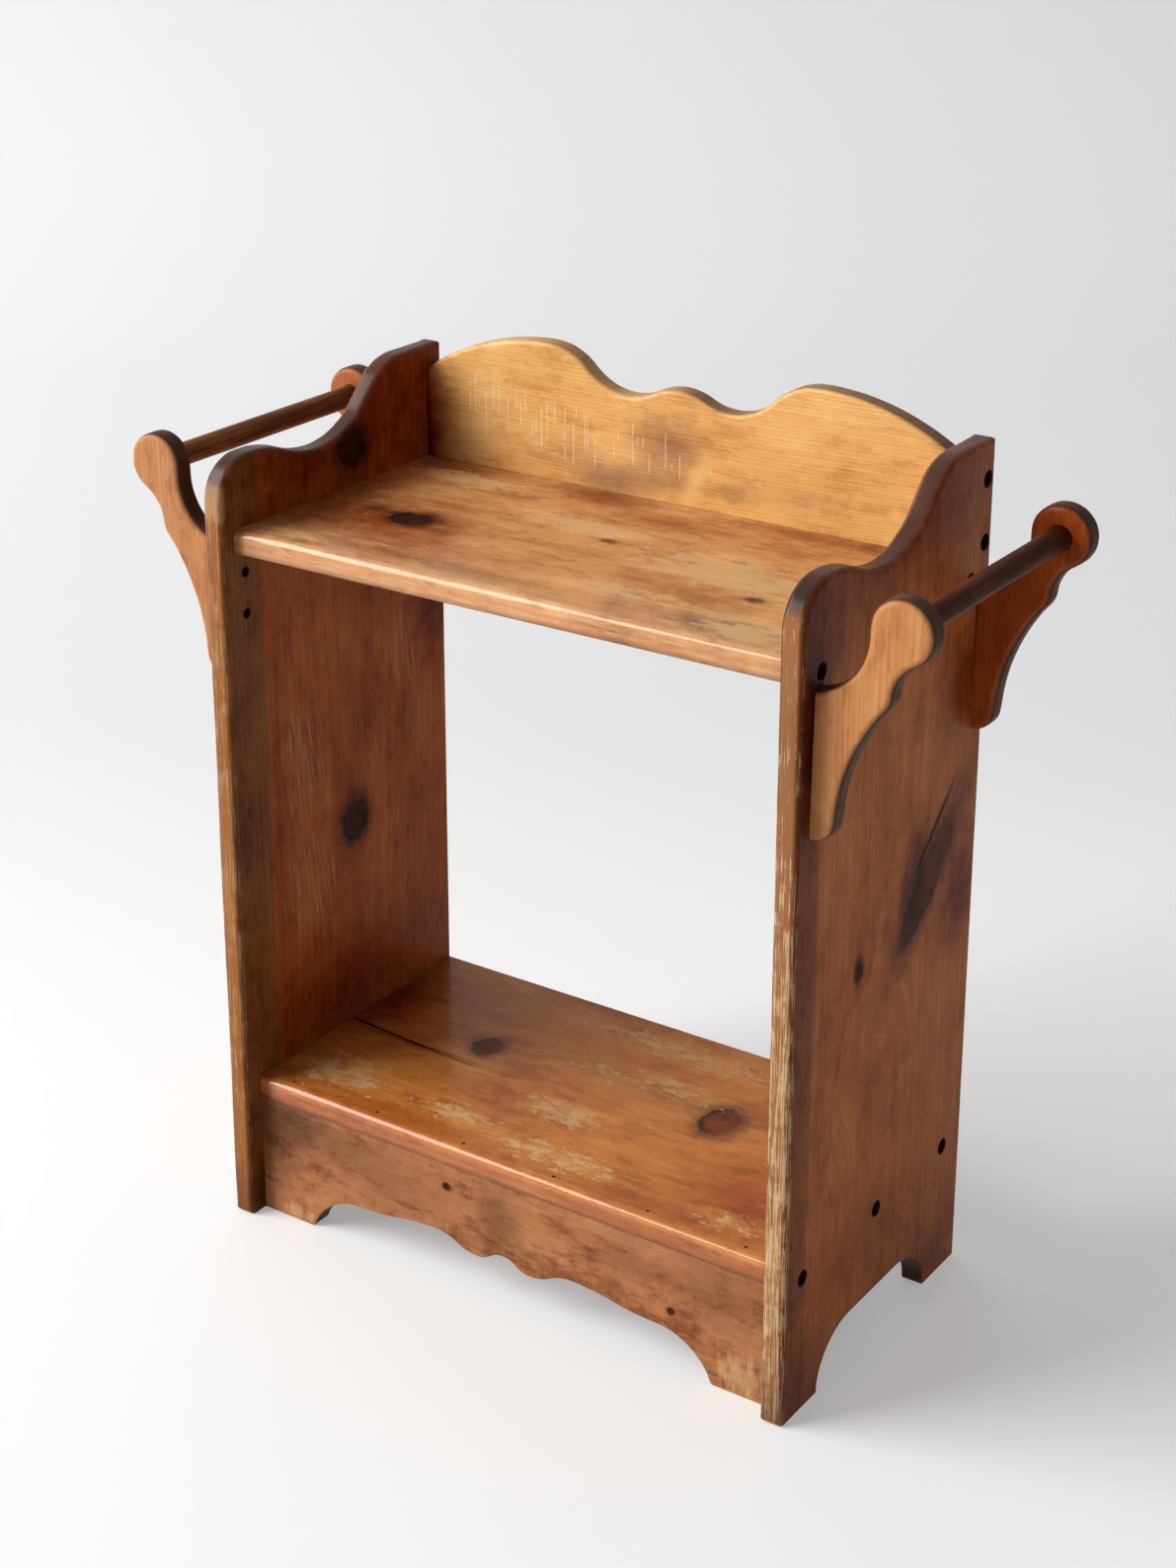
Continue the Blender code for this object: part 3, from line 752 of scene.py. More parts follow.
rightSide = {
    **sideWood,
    "seed": 8.7, "heart": (-0.01, 0.36), "ring": 0.0066, "fibrePower": 0.70, "patchPower": 0.60,
    "light": (0.590, 0.201, 0.052, 1), "mid": (0.437, 0.122, 0.030, 1), "dark": (0.232, 0.056, 0.0134, 1),
    "knots": [
        {"at": (0.3790, 0.0650), "size": (0.0600, 0.0175), "turn": 42.6, "dark": 0.74, "halo": 0.35,
         "heart": (0.105, 0.036, 0.023, 1), "burnt": 0.45},
        {"at": (0.4125, 0.0665), "size": (0.0340, 0.0022), "turn": 46, "dark": 0.9, "halo": 0.2},
        {"at": (0.3438, -0.0444), "size": (0.0085, 0.0055), "halo": 0.8},
    ],
    "strip": (-0.112, (0.72, 0.70, 0.66, 1)),
    # dark patches: stains and the long knot's halo; the three at 0.525 to 0.56 up, beside the brackets, are
    # painted shadow of the brackets
    "darkPatches": [
        (0.695, 0.0, 0.095, 0.19, 1.0), (0.385, 0.032, 0.04, 0.026, 1.0),
        (0.412, 0.044, 0.036, 0.024, 1.0), (0.357, 0.0, 0.018, 0.012, 0.5),
        (0.35, 0.118, 0.07, 0.046, 1.0), (0.1, -0.04, 0.06, 0.14, 0.5),
        (0.56, -0.128, 0.12, 0.026, 1.0), (0.54, -0.124, 0.09, 0.024, 1.0),
        (0.525, 0.11, 0.06, 0.05, 1.0), (0.34, 0.12, 0.04, 0.03, 0.7), (0.375, 0.042, 0.055, 0.03, 0.9),
        (0.625, -0.105, 0.05, 0.03, 0.6), (0.03, -0.11, 0.06, 0.04, 0.6),
    ],
    "patchTone": (0.46, 0.25, 0.165, 1),
    "strokes": [(0.15, -0.06, 0.1, 0.05, 0.4)],
    "pale": [(0.18, -0.143, 0.32, 0.05, 0.9)],
    "edge": (0.37, 0.16, 0.062, 1), "edgeWear": 0.85, "grime": 0.078,
    "farTone": (0.66, 0.86, 1.35, 1),
}
sideEdges = {
    "upright": (0.1375, 0.1345),  # between the front and back edges, where an edge is sawn to a curve
    "top": (0.640, 0.665),
    "front": (0.0075, 0.002),  # from the front of the board, where the pale edge fades in
    "foot": 0.075,
    "core": 0.003,  # half the way over which one face's look gives way to the other's
    "line": 0.0004,
    "grime": 0.004,
    "flakes": (0.60, 0.67),
    "hole": (1.12, 0.98),  # in radii
    "wisps": {"scales": (20.0, 330.0), "lean": 0.13, "limit": 0.81, "soft": 0.05, "power": 0.62},
}


def makeSide(name, node, look):
    piece, holes = cutBoard(name, node, "YZX", wornEdge=0.22)
    low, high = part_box(node)
    centre, half = middleOf(node, "X")
    pine = Pine(name + "Pine", look)
    bench = pine.bench
    core, line = sideEdges["core"], sideEdges["line"]
    pine.where = bench.ease(pine.through, centre - core, centre + core)
    # the -X face loses the deeper red of the +X face, which is partly painted bounced light
    pine.shade(1 - pine.where, look["farTone"])
    stripAt, stripTint = look["strip"]
    pine.shade(bench.ease(pine.across, stripAt + line, stripAt - line), stripTint)
    pine.stainAndShade(look["darkPatches"], look["patchTone"])
    pine.wear(look["strokes"], colour=pineTones["haze"], **sideEdges["wisps"])
    edge = pine.rim(centre, half, look["rim"])
    upright = bench.maths("ABSOLUTE", pine.across - (low.y + high.y) / 2)
    sawnSide = bench.ease(upright, *sideEdges["upright"])
    sawn = bench.maths("MAXIMUM", sawnSide, bench.ease(pine.along, *sideEdges["top"]))
    pine.darken(edge * sawn * (pine.patchy * 0.5 + 0.95))
    pine.shine = edge * sawn * 0.3
    grimy = bench.ease(pine.across, low.y + look["grime"], low.y + sideEdges["grime"])
    grimy = grimy * (pine.patchy * 1.6 + 0.55)
    pine.shade(grimy * 0.75)
    front = bench.ease(pine.across, *(low.y + inset for inset in sideEdges["front"])) * (1 - sawn)
    pine.tint(front * edge * (pine.patchy * 1.2 + 0.6), look["edge"])
    streaks = pine.field(*pineFields["streaks"]) + pine.blot * 0.45 + 0.5
    flaked = bench.ease(streaks + pine.region(look["pale"]) * 0.15, *sideEdges["flakes"]) * front
    pine.rub(flaked * look["edgeWear"], pineTones["cream"])
    scuffed = bench.ease(pine.along, sideEdges["foot"], 0.0) * (pine.patchy * 1.5 + pine.blot + 0.6)
    pine.shade(scuffed * 0.8)
    # painted shade inside the screw holes
    for hole, radius in holes:
        inside = pine.spot(hole.y, hole.x, radius, radius)
        pine.darken(bench.ease(inside, *sideEdges["hole"]), pineTones["pit"])
    dress(piece, pine.finish(), "stand", "side_pine", node)


makeSide("leftSidePanel", "left_side_panel", leftSide)
makeSide("rightSidePanel", "right_side_panel", rightSide)
print("side panels made")


# Shelves: grain from side to side, rounded noses, varnish worn off in flecks

shelfWood = {
    "axes": "XYZ",
    "ringPower": 0.07, "fibrePower": 0.60, "porePower": 0.30, "bandPower": 0.40, "patchPower": 0.95,
    "thin": 0.6, "coatRough": 0.14, "bump": 0.30,
}
washShelf = {
    **shelfWood,
    "seed": 5.3, "heart": (-0.05, 0.45), "ring": 0.0058, "film": 0.65, "coat": 0.30,
    "light": (0.801, 0.458, 0.196, 1), "mid": (0.624, 0.288, 0.103, 1), "dark": (0.349, 0.124, 0.039, 1),
    "knots": [
        {"at": (-0.1527, -0.0261), "size": (0.0185, 0.0140), "turn": 15, "halo": 0.55,
         "heart": (0.05, 0.016, 0.008, 1)},
        {"at": (0.0066, 0.0153), "size": (0.0060, 0.0050), "dark": 0.45, "halo": 0.5},
        {"at": (0.1712, -0.0388), "size": (0.0065, 0.0050), "dark": 0.6, "halo": 0.5},
    ],
    # dark patches; those along the back edge, 0.112 across, are painted shade where the backsplash stands
    "darkPatches": [
        (0.18, -0.1, 0.07, 0.022, 0.85), (-0.13, -0.102, 0.08, 0.016, 0.45),
        (-0.07, 0.112, 0.09, 0.02, 0.55), (-0.193, -0.018, 0.032, 0.011, 0.8),
        (-0.122, -0.038, 0.026, 0.011, 0.8), (0.1, 0.112, 0.12, 0.012, 0.35),
        (0.205, 0.112, 0.06, 0.024, 0.7), (-0.03, -0.106, 0.09, 0.014, 0.5),
    ],
    # painted shade mixed with dark varnish: redder dark patches in the corner by the left side panel and
    # along the edges, standing for shade and light bounced off the wood
    "shadeAndVarnish": [
        (-0.258, 0.0, 0.09, 0.18, 0.9), (-0.16, -0.036, 0.11, 0.06, 1.0),
        (-0.2, 0.105, 0.07, 0.03, 0.8), (-0.06, 0.105, 0.06, 0.03, 0.9),
        (-0.13, -0.07, 0.14, 0.028, 0.5), (0.02, 0.08, 0.07, 0.026, 0.5),
        (0.14, 0.112, 0.12, 0.022, 0.8), (0.07, -0.05, 0.06, 0.02, 0.4),
        (-0.06, -0.095, 0.12, 0.018, 0.5),
    ],
    "redTone": (0.58, 0.29, 0.15, 1),
    "worn": [
        (-0.175, 0.087, 0.09, 0.022, 1.0), (-0.03, 0.036, 0.1, 0.022, 0.95),
        (0.13, 0.0, 0.12, 0.05, 1.0), (0.195, -0.1, 0.06, 0.03, 1.0), (0.085, -0.075, 0.09, 0.018, 0.8),
        (-0.215, -0.11, 0.04, 0.02, 0.8),
    ],
    "flecks": (48.0, 120.0), "fleckLimit": 0.67, "hazePower": 0.6, "bareNose": 0.6, "redNose": 0.25,
}
floorShelf = {
    **shelfWood,
    "seed": 1.9, "heart": (0.03, -0.30), "ring": 0.0060, "film": 0.6, "coat": 0.26,
    "light": (0.719, 0.314, 0.072, 1), "mid": (0.540, 0.182, 0.036, 1), "dark": (0.292, 0.075, 0.0145, 1),
    "knots": [
        {"at": (-0.1210, 0.0240), "size": (0.0130, 0.0150), "dark": 0.75, "halo": 0.35,
         "heart": (0.12, 0.032, 0.012, 1), "burnt": 0.4},
        {"at": (0.1110, 0.0300), "size": (0.0160, 0.0205), "dark": 0.9, "halo": 0.35,
         "heart": (0.22, 0.055, 0.020, 1), "burnt": 0.2},
    ],
    "darkPatches": [
        (-0.175, -0.007, 0.085, 0.006, 0.8), (0.12, 0.055, 0.06, 0.02, 0.3),
        (0.02, 0.045, 0.2, 0.018, 0.3),
    ],
    # painted shade mixed with dark varnish, as on the wash shelf, deepest in the corner by the left side
    # panel
    "shadeAndVarnish": [
        (-0.268, 0.04, 0.095, 0.11, 1.0), (-0.12, -0.112, 0.14, 0.022, 0.6),
        (0.1, -0.11, 0.17, 0.022, 0.5), (0.19, -0.055, 0.085, 0.075, 0.8),
        (-0.1, -0.085, 0.05, 0.02, 0.5), (-0.24, 0.05, 0.04, 0.08, 0.9), (0.06, 0.04, 0.05, 0.02, 0.4),
        (0.2, 0.07, 0.05, 0.03, 0.5), (0.0, -0.04, 0.04, 0.02, 0.4),
    ],
    "redTone": (0.52, 0.22, 0.10, 1),
    "worn": [
        (-0.195, -0.078, 0.065, 0.046, 1.0), (-0.075, -0.08, 0.065, 0.022, 1.0),
        (-0.005, -0.032, 0.065, 0.03, 1.0), (0.03, -0.09, 0.09, 0.026, 1.0),
        (0.056, 0.054, 0.09, 0.03, 0.8), (-0.01, 0.048, 0.07, 0.02, 0.75),
        (0.195, -0.096, 0.055, 0.022, 0.8), (0.03, 0.11, 0.19, 0.028, 0.85),
        (-0.12, 0.12, 0.07, 0.02, 0.7),
    ],
    "flecks": (62.0, 135.0), "fleckLimit": 0.70, "hazePower": 0.35, "bareNose": 0.12, "redNose": 0.55,
}
shelfWear = {
    "haze": {"scales": (22.0, 80.0), "gain": 0.22, "limit": 0.67, "soft": 0.07, "shift": 19.0},
    "fine": {"gain": 0.24, "soft": 0.03, "power": 0.5, "shift": 43.0},
    "finer": 2.6,  # how much smaller the fine flecks are
}
# ways in from a shelf's faces and ends, over which one look gives way to the next
shelfEdges = {
    "worn": (0.004, 0.008),
    "pitTop": (0.0003, 0.0008), "pitFoot": (0.003, 0.005),
    "pitFront": (0.0078, 0.0082), "pitBack": (0.003, 0.004),
    "nose": (0.010, 0.003), "below": (0.003, 0.009),
    # leftEnd and rightEnd reach in from the ends, under up from the underside: painted shade lies there
    "leftEnd": (0.03, 0.0), "rightEnd": (0.02, 0.0), "under": (0.006, 0.001),
}
splitCut = {"pieces": 8, "scale": 90, "ragged": 0.5, "tail": 0.25, "root": 0.25}
# a split that opens at the left end of the floor shelf, and a short one near its back
floorSplits = [
    {"path": [(-0.2490, 0.0001), (-0.1787, -0.0059), (-0.1040, -0.0112)], "width": 0.0040, "depth": 0.007},
    {"path": [(0.0848, 0.1188), (0.0930, 0.1172), (0.1019, 0.1162)], "width": 0.0014, "depth": 0.004},
]


def openSplit(split):
    # a thin wedge along a path, widest where it starts
    path = [Vector(p) for p in split["path"]]
    legs = [(path[k + 1] - path[k]).normalized() for k in range(len(path) - 1)]
    lip, back = [], []
    spots = []
    for k, leg in enumerate(legs):
        for step in range(splitCut["pieces"]):
            spots.append((path[k].lerp(path[k + 1], step / splitCut["pieces"]), leg))
    for k, (spot, leg) in enumerate(spots):
        share = splitCut["tail"] + (1 - splitCut["tail"]) * (1 - k / len(spots))
        place = Vector((spot.x * splitCut["scale"], spot.y * splitCut["scale"], 0.3))
        ragged = 1 + splitCut["ragged"] * noise.noise(place)
        side = Vector((-leg.y, leg.x)) * split["width"] / 2 * share * ragged
        lip.append(spot + side)
        back.append(spot - side)
    loop = lip + [path[-1]] + back[::-1]
    centres = [s for s, leg in spots] + [path[-1]] + [s for s, leg in spots][::-1]
    root = [c.lerp(p, splitCut["root"]) for c, p in zip(centres, loop)]
    return {"lip": loop, "root": root, "depth": split["depth"]}


def makeShelf(name, node, look, smallest, splits=()):
    cracks = [openSplit(split) for split in splits]
    piece = cutBoard(name, node, "XYZ", ("X-", "X+"), smallest, 0.16, cracks, fullHoles=0.001)[0]
    low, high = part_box(node)
    pine = Pine(name + "Pine", look)
    bench = pine.bench

    def inFrom(value, face, inset, sense=1):
        return bench.ease(value, *(face + sense * way for way in shelfEdges[inset]))

    pine.where = inFrom(pine.through, low.z, "worn")
    pine.stainAndShade(look["darkPatches"])
    # redder dark patches: painted shade and dark varnish
    pine.stainAndShade(look["shadeAndVarnish"], look["redTone"], ragged=0.8)
    pine.wear(look["worn"], power=look["hazePower"], colour=look["light"], **shelfWear["haze"])
    pine.wear(look["worn"], look["flecks"], gain=0.2, limit=look["fleckLimit"], soft=0.025)
    fine = [scale * shelfWear["finer"] for scale in look["flecks"]]
    pine.wear(look["worn"], fine, limit=look["fleckLimit"] + 0.02, **shelfWear["fine"])
    # painted shade inside the board, which shows in the splits and holes
    pit = inFrom(pine.through, high.z, "pitTop", -1) * inFrom(pine.through, low.z, "pitFoot")
    pit = pit * inFrom(pine.across, low.y, "pitFront")
    pit = pit * inFrom(pine.across, high.y, "pitBack", -1)
    pine.darken(pit, pineTones["pit"])
    nose = inFrom(pine.across, low.y, "nose")
    pine.shine = nose * 0.65
    ragged = pine.field(*pineFields["nose"]) + 0.5
    below = inFrom(pine.through, high.z, "below", -1)
    pine.shade(nose * below * look["redNose"], look["redTone"])
    pine.rub(bench.ease(ragged, 0.50, 0.66) * nose * look["bareNose"])
    # painted shade at both ends, where the shelf meets the side panels
    rightEnd = inFrom(pine.along, high.x, "rightEnd", -1)
    corner = bench.maths("MAXIMUM", inFrom(pine.along, low.x, "leftEnd"), rightEnd)
    pine.shade(corner * (pine.patchy * 1.2 + 0.4) * 0.8)
    # painted shade on the underside
    pine.shade(inFrom(pine.through, low.z, "under") * 0.6)
    dress(piece, pine.finish(), "stand", "shelf_pine", node)


makeShelf("washShelf", "wash_shelf", washShelf, smallest=0.0035)
makeShelf("floorShelf", "floor_shelf", floorShelf, smallest=0.0010, splits=floorSplits)
print("shelves made")


# Backsplash: golden, fine grain from end to end, scratched downwards

splashLook = {
    "axes": "XZY", "seed": 6.4, "heart": (0.30, 0.16), "ring": 0.0030,
    "light": (0.880, 0.581, 0.239, 1), "mid": (0.770, 0.416, 0.135, 1), "dark": (0.500, 0.217, 0.058, 1),
    "ringPower": 0.16, "fibrePower": 0.60, "porePower": 0.30, "bandPower": 0.40, "patchPower": 0.60,
    "film": 0.45, "thin": 0.5,
    "coat": 0.25, "coatRough": 0.25, "bump": 0.30, "rim": 0.004, "core": 0.004,
    "darkens": (-0.06, 0.12),  # from left to right along the sawn edge
    "darkPatches": [
        (-0.008, 0.662, 0.046, 0.034, 0.95), (-0.062, 0.624, 0.052, 0.02, 1.0),
        (-0.015, 0.632, 0.05, 0.018, 0.7), (0.055, 0.632, 0.034, 0.013, 0.5),
        (0.12, 0.64, 0.06, 0.016, 0.3), (-0.1, 0.64, 0.045, 0.02, 0.35),
    ],
    "patchTone": (0.52, 0.50, 0.68, 1),
    # painted shadow of the left side panel over the backsplash's left end
    "corner": [(-0.254, 0.62, 0.034, 0.075, 1.0), (-0.256, 0.66, 0.028, 0.08, 0.95)],
    "panelShadowTone": (0.40, 0.060, 0.010, 1), "edgeTone": (0.155, 0.052, 0.018, 1),
    "gleam": {"at": (0.0185, 0.6360), "size": (0.034, 0.012), "turn": 58.5},
    "scratches": {
        "spacing": 0.0058, "from": -0.216, "to": 0.045, "low": 0.628, "high": 0.700, "slope": 0.12,
        "thin": (0.075, 0.025), "tips": 0.004, "sides": 0.01, "power": 0.7,
    },
}


def makeBacksplash():
    node = "backsplash"
    piece = cutBoard("backsplash", node, "XZY", ("X-", "X+"))[0]
    centre, half = middleOf(node, "Y")
    pine = Pine("backsplashPine", splashLook)
    core = splashLook["core"]
    pine.where = pine.bench.ease(pine.through, centre + core, centre - core)
    pine.stainAndShade(splashLook["darkPatches"], splashLook["patchTone"], ragged=0.45)
    # painted shadow of the left side panel
    pine.stainAndShade(splashLook["corner"], splashLook["panelShadowTone"], ragged=0.6)
    gleam = splashLook["gleam"]
    shine = pine.spot(*gleam["at"], *gleam["size"], gleam["turn"]) + pine.patchy * 0.8
    pine.tint(pine.bench.ease(shine, 1.2, 0.0) * (pine.where * 0.55), splashLook["light"])
    pine.scratch(splashLook["scratches"])
    edge = pine.rim(centre, half, splashLook["rim"])
    lean = pine.bench.ease(pine.along, *splashLook["darkens"])
    pine.tint(edge * (pine.patchy * 0.8 + lean * 0.5 + 0.45), splashLook["edgeTone"])
    dress(piece, pine.finish(), "stand", "golden_pine", node)


makeBacksplash()


# Apron: duller, blotched, scuffed at its feet

apronLook = {
    "axes": "XZY", "seed": 2.6, "heart": (0.06, -0.24), "ring": 0.0075,
    "light": (0.500, 0.226, 0.098, 1), "mid": (0.398, 0.158, 0.061, 1), "dark": (0.178, 0.065, 0.028, 1),
    "ringPower": 0.08, "fibrePower": 0.60, "porePower": 0.50, "bandPower": 0.40, "patchPower": 0.95,
    "film": 0.9, "thin": 0.4,
    "coat": 0.12, "coatRough": 0.30, "bump": 0.40, "rim": 0.0015, "core": 0.004,
    "knots": [
        {"at": (-0.0553, 0.0878), "size": (0.0034, 0.0030), "halo": 0.3},
        {"at": (0.1606, 0.0521), "size": (0.0030, 0.0026), "halo": 0.3},
    ],
    "darkPatches": [
        (-0.005, 0.07, 0.032, 0.05, 0.65), (0.12, 0.085, 0.035, 0.035, 0.35),
        (-0.12, 0.075, 0.09, 0.05, 0.4), (-0.235, 0.085, 0.05, 0.065, 0.9),
        (-0.18, 0.09, 0.06, 0.03, 0.5), (0.2, 0.08, 0.06, 0.05, 0.45),
    ],
    "worn": [(0.224, 0.02, 0.034, 0.03, 1.1), (-0.215, 0.008, 0.03, 0.012, 0.9)],
    "scuffs": (-0.02, 0.34),
}


def makeApron():
    node = "front_apron"
    piece = cutBoard("frontApron", node, "XZY", ("Z+",), wornEdge=0.3)[0]
    centre, half = middleOf(node, "Y")
    pine = Pine("frontApronPine", apronLook)
    core = apronLook["core"]
    pine.where = pine.bench.ease(pine.through, centre + core, centre - core)
    pine.stainAndShade(apronLook["darkPatches"])
    for kind in ("scuffs", "rubs"):
        scuffs = pine.field(*pineFields[kind]) + pine.patchy * 0.5
        pine.shade(pine.bench.ease(scuffs, *apronLook["scuffs"]) * 0.5)
    pine.wear(apronLook["worn"], (190.0, 45.0), limit=0.74, soft=0.13, power=0.55)
    edge = pine.rim(centre, half, apronLook["rim"])
    pine.darken(edge * 0.9)
    dress(piece, pine.finish(), "stand", "apron_pine", node)


makeApron()
print("backsplash and apron made")


# Brackets: grain upright, faces orange, sawn edges dark

bracketLook = {
    "axes": "ZXY", "ring": 0.0042,
    "light": (0.66, 0.320, 0.125, 1), "mid": (0.54, 0.225, 0.072, 1), "dark": (0.31, 0.105, 0.030, 1),
    "ringPower": 0.12, "fibrePower": 0.75, "porePower": 0.35, "bandPower": 0.50, "patchPower": 0.45,
    "film": 0.55, "thin": 0.4,
    "coat": 0.18, "coatRough": 0.25, "bump": 0.40, "rim": 0.0028,
    "heartAway": (0.10, 0.05),  # from the middle of the bracket
    "seeds": {"left_front": 12.2, "left_rear": 14.9, "right_front": 17.3, "right_rear": 19.8},
    "tints": {
        "left_front": (0.82, 0.83, 0.95, 1), "left_rear": (0.66, 0.46, 0.38, 1),
        "right_front": (0.97, 0.96, 1, 1), "right_rear": (0.63, 0.28, 0.13, 1),
    },
}


def makeBracket(place, seed):
    node = place + "_bracket"
    side, end = place.split("_")
    name = side + end.capitalize() + "Bracket"
    seat = "X+" if side == "left" else "X-"
    piece = cutBoard(name, node, "XZY", (seat,), wornEdge=0.2, fullHoles=0.02)[0]
    centre, half = middleOf(node, "Y")
    beside, behind = bracketLook["heartAway"]
    heart = (middleOf(node, "X")[0] + beside, centre + behind)
    pine = Pine(name + "Pine", dict(bracketLook, seed=seed, heart=heart))
    pine.shade(1.0, bracketLook["tints"][place])
    edge = pine.rim(centre, half, bracketLook["rim"])
    pine.darken(edge * (pine.patchy * 0.5 + 0.95))
    dress(piece, pine.finish(), "stand", "bracket_pine", node)


for place, seed in bracketLook["seeds"].items():
    makeBracket(place, seed)
print("brackets made")


# Towel rods: dark dowels with broken ends

rodLook = {
    "sides": 48, "step": 0.006, "chamfer": 0.0012, "wander": 0.00012, "sharp": math.radians(40),
    "streaks": (700.0, 9.0), "patches": (60.0, 14.0),  # noise scales round the rod and along it
    "darkFrom": (0.5, 0.72), "lightFrom": (0.54, 0.38), "bumpDepth": 0.0004, "rough": 0.34, "specular": 0.05,
    "light": (0.340, 0.128, 0.040, 1), "mid": (0.172, 0.059, 0.017, 1), "dark": (0.074, 0.024, 0.007, 1),
    "depths": {"left": (1, 1, 1, 1), "right": (0.40, 0.25, 0.16, 1)},
}


def walnutStain(side):
    material, bench = freshMaterial(side + "WalnutStain")
    x, y, z = bench.split(bench.add("ShaderNodeTexCoord", out="Object"))
    fine, long = rodLook["streaks"]
    streak = bench.cloud(bench.join(x * fine, y * long, z * fine), 4.0, 0.6)
    wide, long = rodLook["patches"]
    patch = bench.cloud(bench.join(x * wide, y * long, z * wide), 3.0, 0.55)
    tone = streak * 0.6 + patch * 0.5
    deepTone = bench.blend(bench.ease(tone, *rodLook["darkFrom"]), rodLook["mid"], rodLook["dark"])
    colour = bench.blend(bench.ease(tone, *rodLook["lightFrom"]), deepTone, rodLook["light"])
    colour = bench.blend(1.0, colour, rodLook["depths"][side], "MULTIPLY")
    depth = rodLook["bumpDepth"]
    bump = bench.add("ShaderNodeBump", inputs={"Strength": 0.3, "Distance": depth, "Height": streak})
    bench.coat({
        "Base Color": colour,
        "Roughness": patch * 0.25 + rodLook["rough"],
        "Specular IOR Level": rodLook["specular"],
        "Normal": bump,
    })
    return material


def makeRod(side):
    node = side + "_towel_rod"
    low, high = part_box(node)
    middle = (low + high) / 2
    radius = (high.z - low.z) / 2
    chamfer = rodLook["chamfer"]
    inner = high.y - low.y - 2 * chamfer
    count = round(inner / rodLook["step"])
    profile = [(low.y, radius - chamfer)]
    for k in range(count + 1):
        y = low.y + chamfer + inner * k / count
        hollow = 0.5 + 0.5 * noise.noise(Vector((y * 30, middle.x * 9, 0.7)))
        profile.append((y, radius - rodLook["wander"] * hollow))
    profile.append((high.y, radius - chamfer))
    bm = bmesh.new()
    rings = []
    for y, r in profile:
        turns = [math.tau * k / rodLook["sides"] for k in range(rodLook["sides"])]
        circle = [(middle.x + r * math.cos(a), y, middle.z + r * math.sin(a)) for a in turns]
        rings.append([bm.verts.new(co) for co in circle])
    for first, second in zip(rings, rings[1:]):
        stitch(bm, first, second)
    bm.faces.new(rings[0])
    bm.faces.new(rings[-1])
    piece = closeSkin(bm, side + "TowelRod", rodLook["sharp"])
    dress(piece, walnutStain(side), side + "_rod", "rod_walnut", node)


for side in ("left", "right"):
    makeRod(side)
print("towel rods made")


# Screws and nails, set out by Geometry Nodes on points with a facing

fastenerLook = {
    "screw": {
        "Head Radius": 0.0036, "Head Depth": 0.0021, "Shank Radius": 0.0019,
        "Slot Width": 0.0011, "Thread": 0.00035,
    },
    "nail": {"Head Radius": 0.0011, "Length": 0.045},
    # shares of the sizes above, apart from the turns of the thread and the radii at its tip
    "screwShape": {
        "slot": 2.4, "tip": 0.0003, "threadTip": 0.0005,
        "turns": 12.0, "threadHeight": 0.85, "threadFoot": -0.98,
    },
    "nailShape": {"top": 0.8, "foot": 0.5, "cap": 0.95, "capAt": -0.9},
    "steel": (0.13, 0.105, 0.085, 1),
    "rust": (0.060, 0.026, 0.014, 1),
    "rustScale": 420.0, "rustFrom": (0.46, 0.60),
    "slotSeed": 4,
}


def dullSteel():
    material, bench = freshMaterial("dullSteel")
    x, y, z = bench.split(bench.add("ShaderNodeTexCoord", out="Object"))
    fine = fastenerLook["rustScale"]
    rust = bench.cloud(bench.join(x * fine, y * fine, z * fine), 4.0, 0.6)
    mask = bench.ease(rust, *fastenerLook["rustFrom"])
    bench.coat({
        "Base Color": bench.blend(mask, fastenerLook["steel"], fastenerLook["rust"]),
        "Metallic": 1 - mask,
        "Roughness": mask * 0.35 + 0.42,
    })
    return material


def newTree(name, sizes):
    # a Geometry Nodes tree with its sizes, a seed and a material as inputs
    tree = bpy.data.node_groups.new(name, "GeometryNodeTree")
    kinds = {"Points": "NodeSocketGeometry", "Seed": "NodeSocketInt", "Finish": "NodeSocketMaterial"}
    for socket in ["Points", *sizes, "Seed", "Finish"]:
        tree.interface.new_socket(socket, in_out="INPUT", socket_type=kinds.get(socket, "NodeSocketFloat"))
    tree.interface.new_socket("Geometry", in_out="OUTPUT", socket_type="NodeSocketGeometry")
    bench = Bench(tree)
    first = bench.add("NodeGroupInput")
    return bench, {socket.name: Wire(bench, socket) for socket in first.socket.node.outputs}


def moved(bench, geometry, z):
    shift = bench.join(0.0, 0.0, z)
    return bench.add("GeometryNodeTransform", inputs={"Geometry": geometry, "Translation": shift})


def cone(bench, sides, top, bottom, depth, below):
    # stands upright, its foot so far below the head's face
    sizes = {"Vertices": sides, "Radius Top": top, "Radius Bottom": bottom, "Depth": depth}
    return moved(bench, bench.add("GeometryNodeMeshCone", inputs=sizes), below * -1.0)


def joined(bench, *geometries):
    together = bench.add("GeometryNodeJoinGeometry")
    for geometry in geometries:
        bench.tree.links.new(geometry.socket, together.socket.node.inputs[0])
    return together


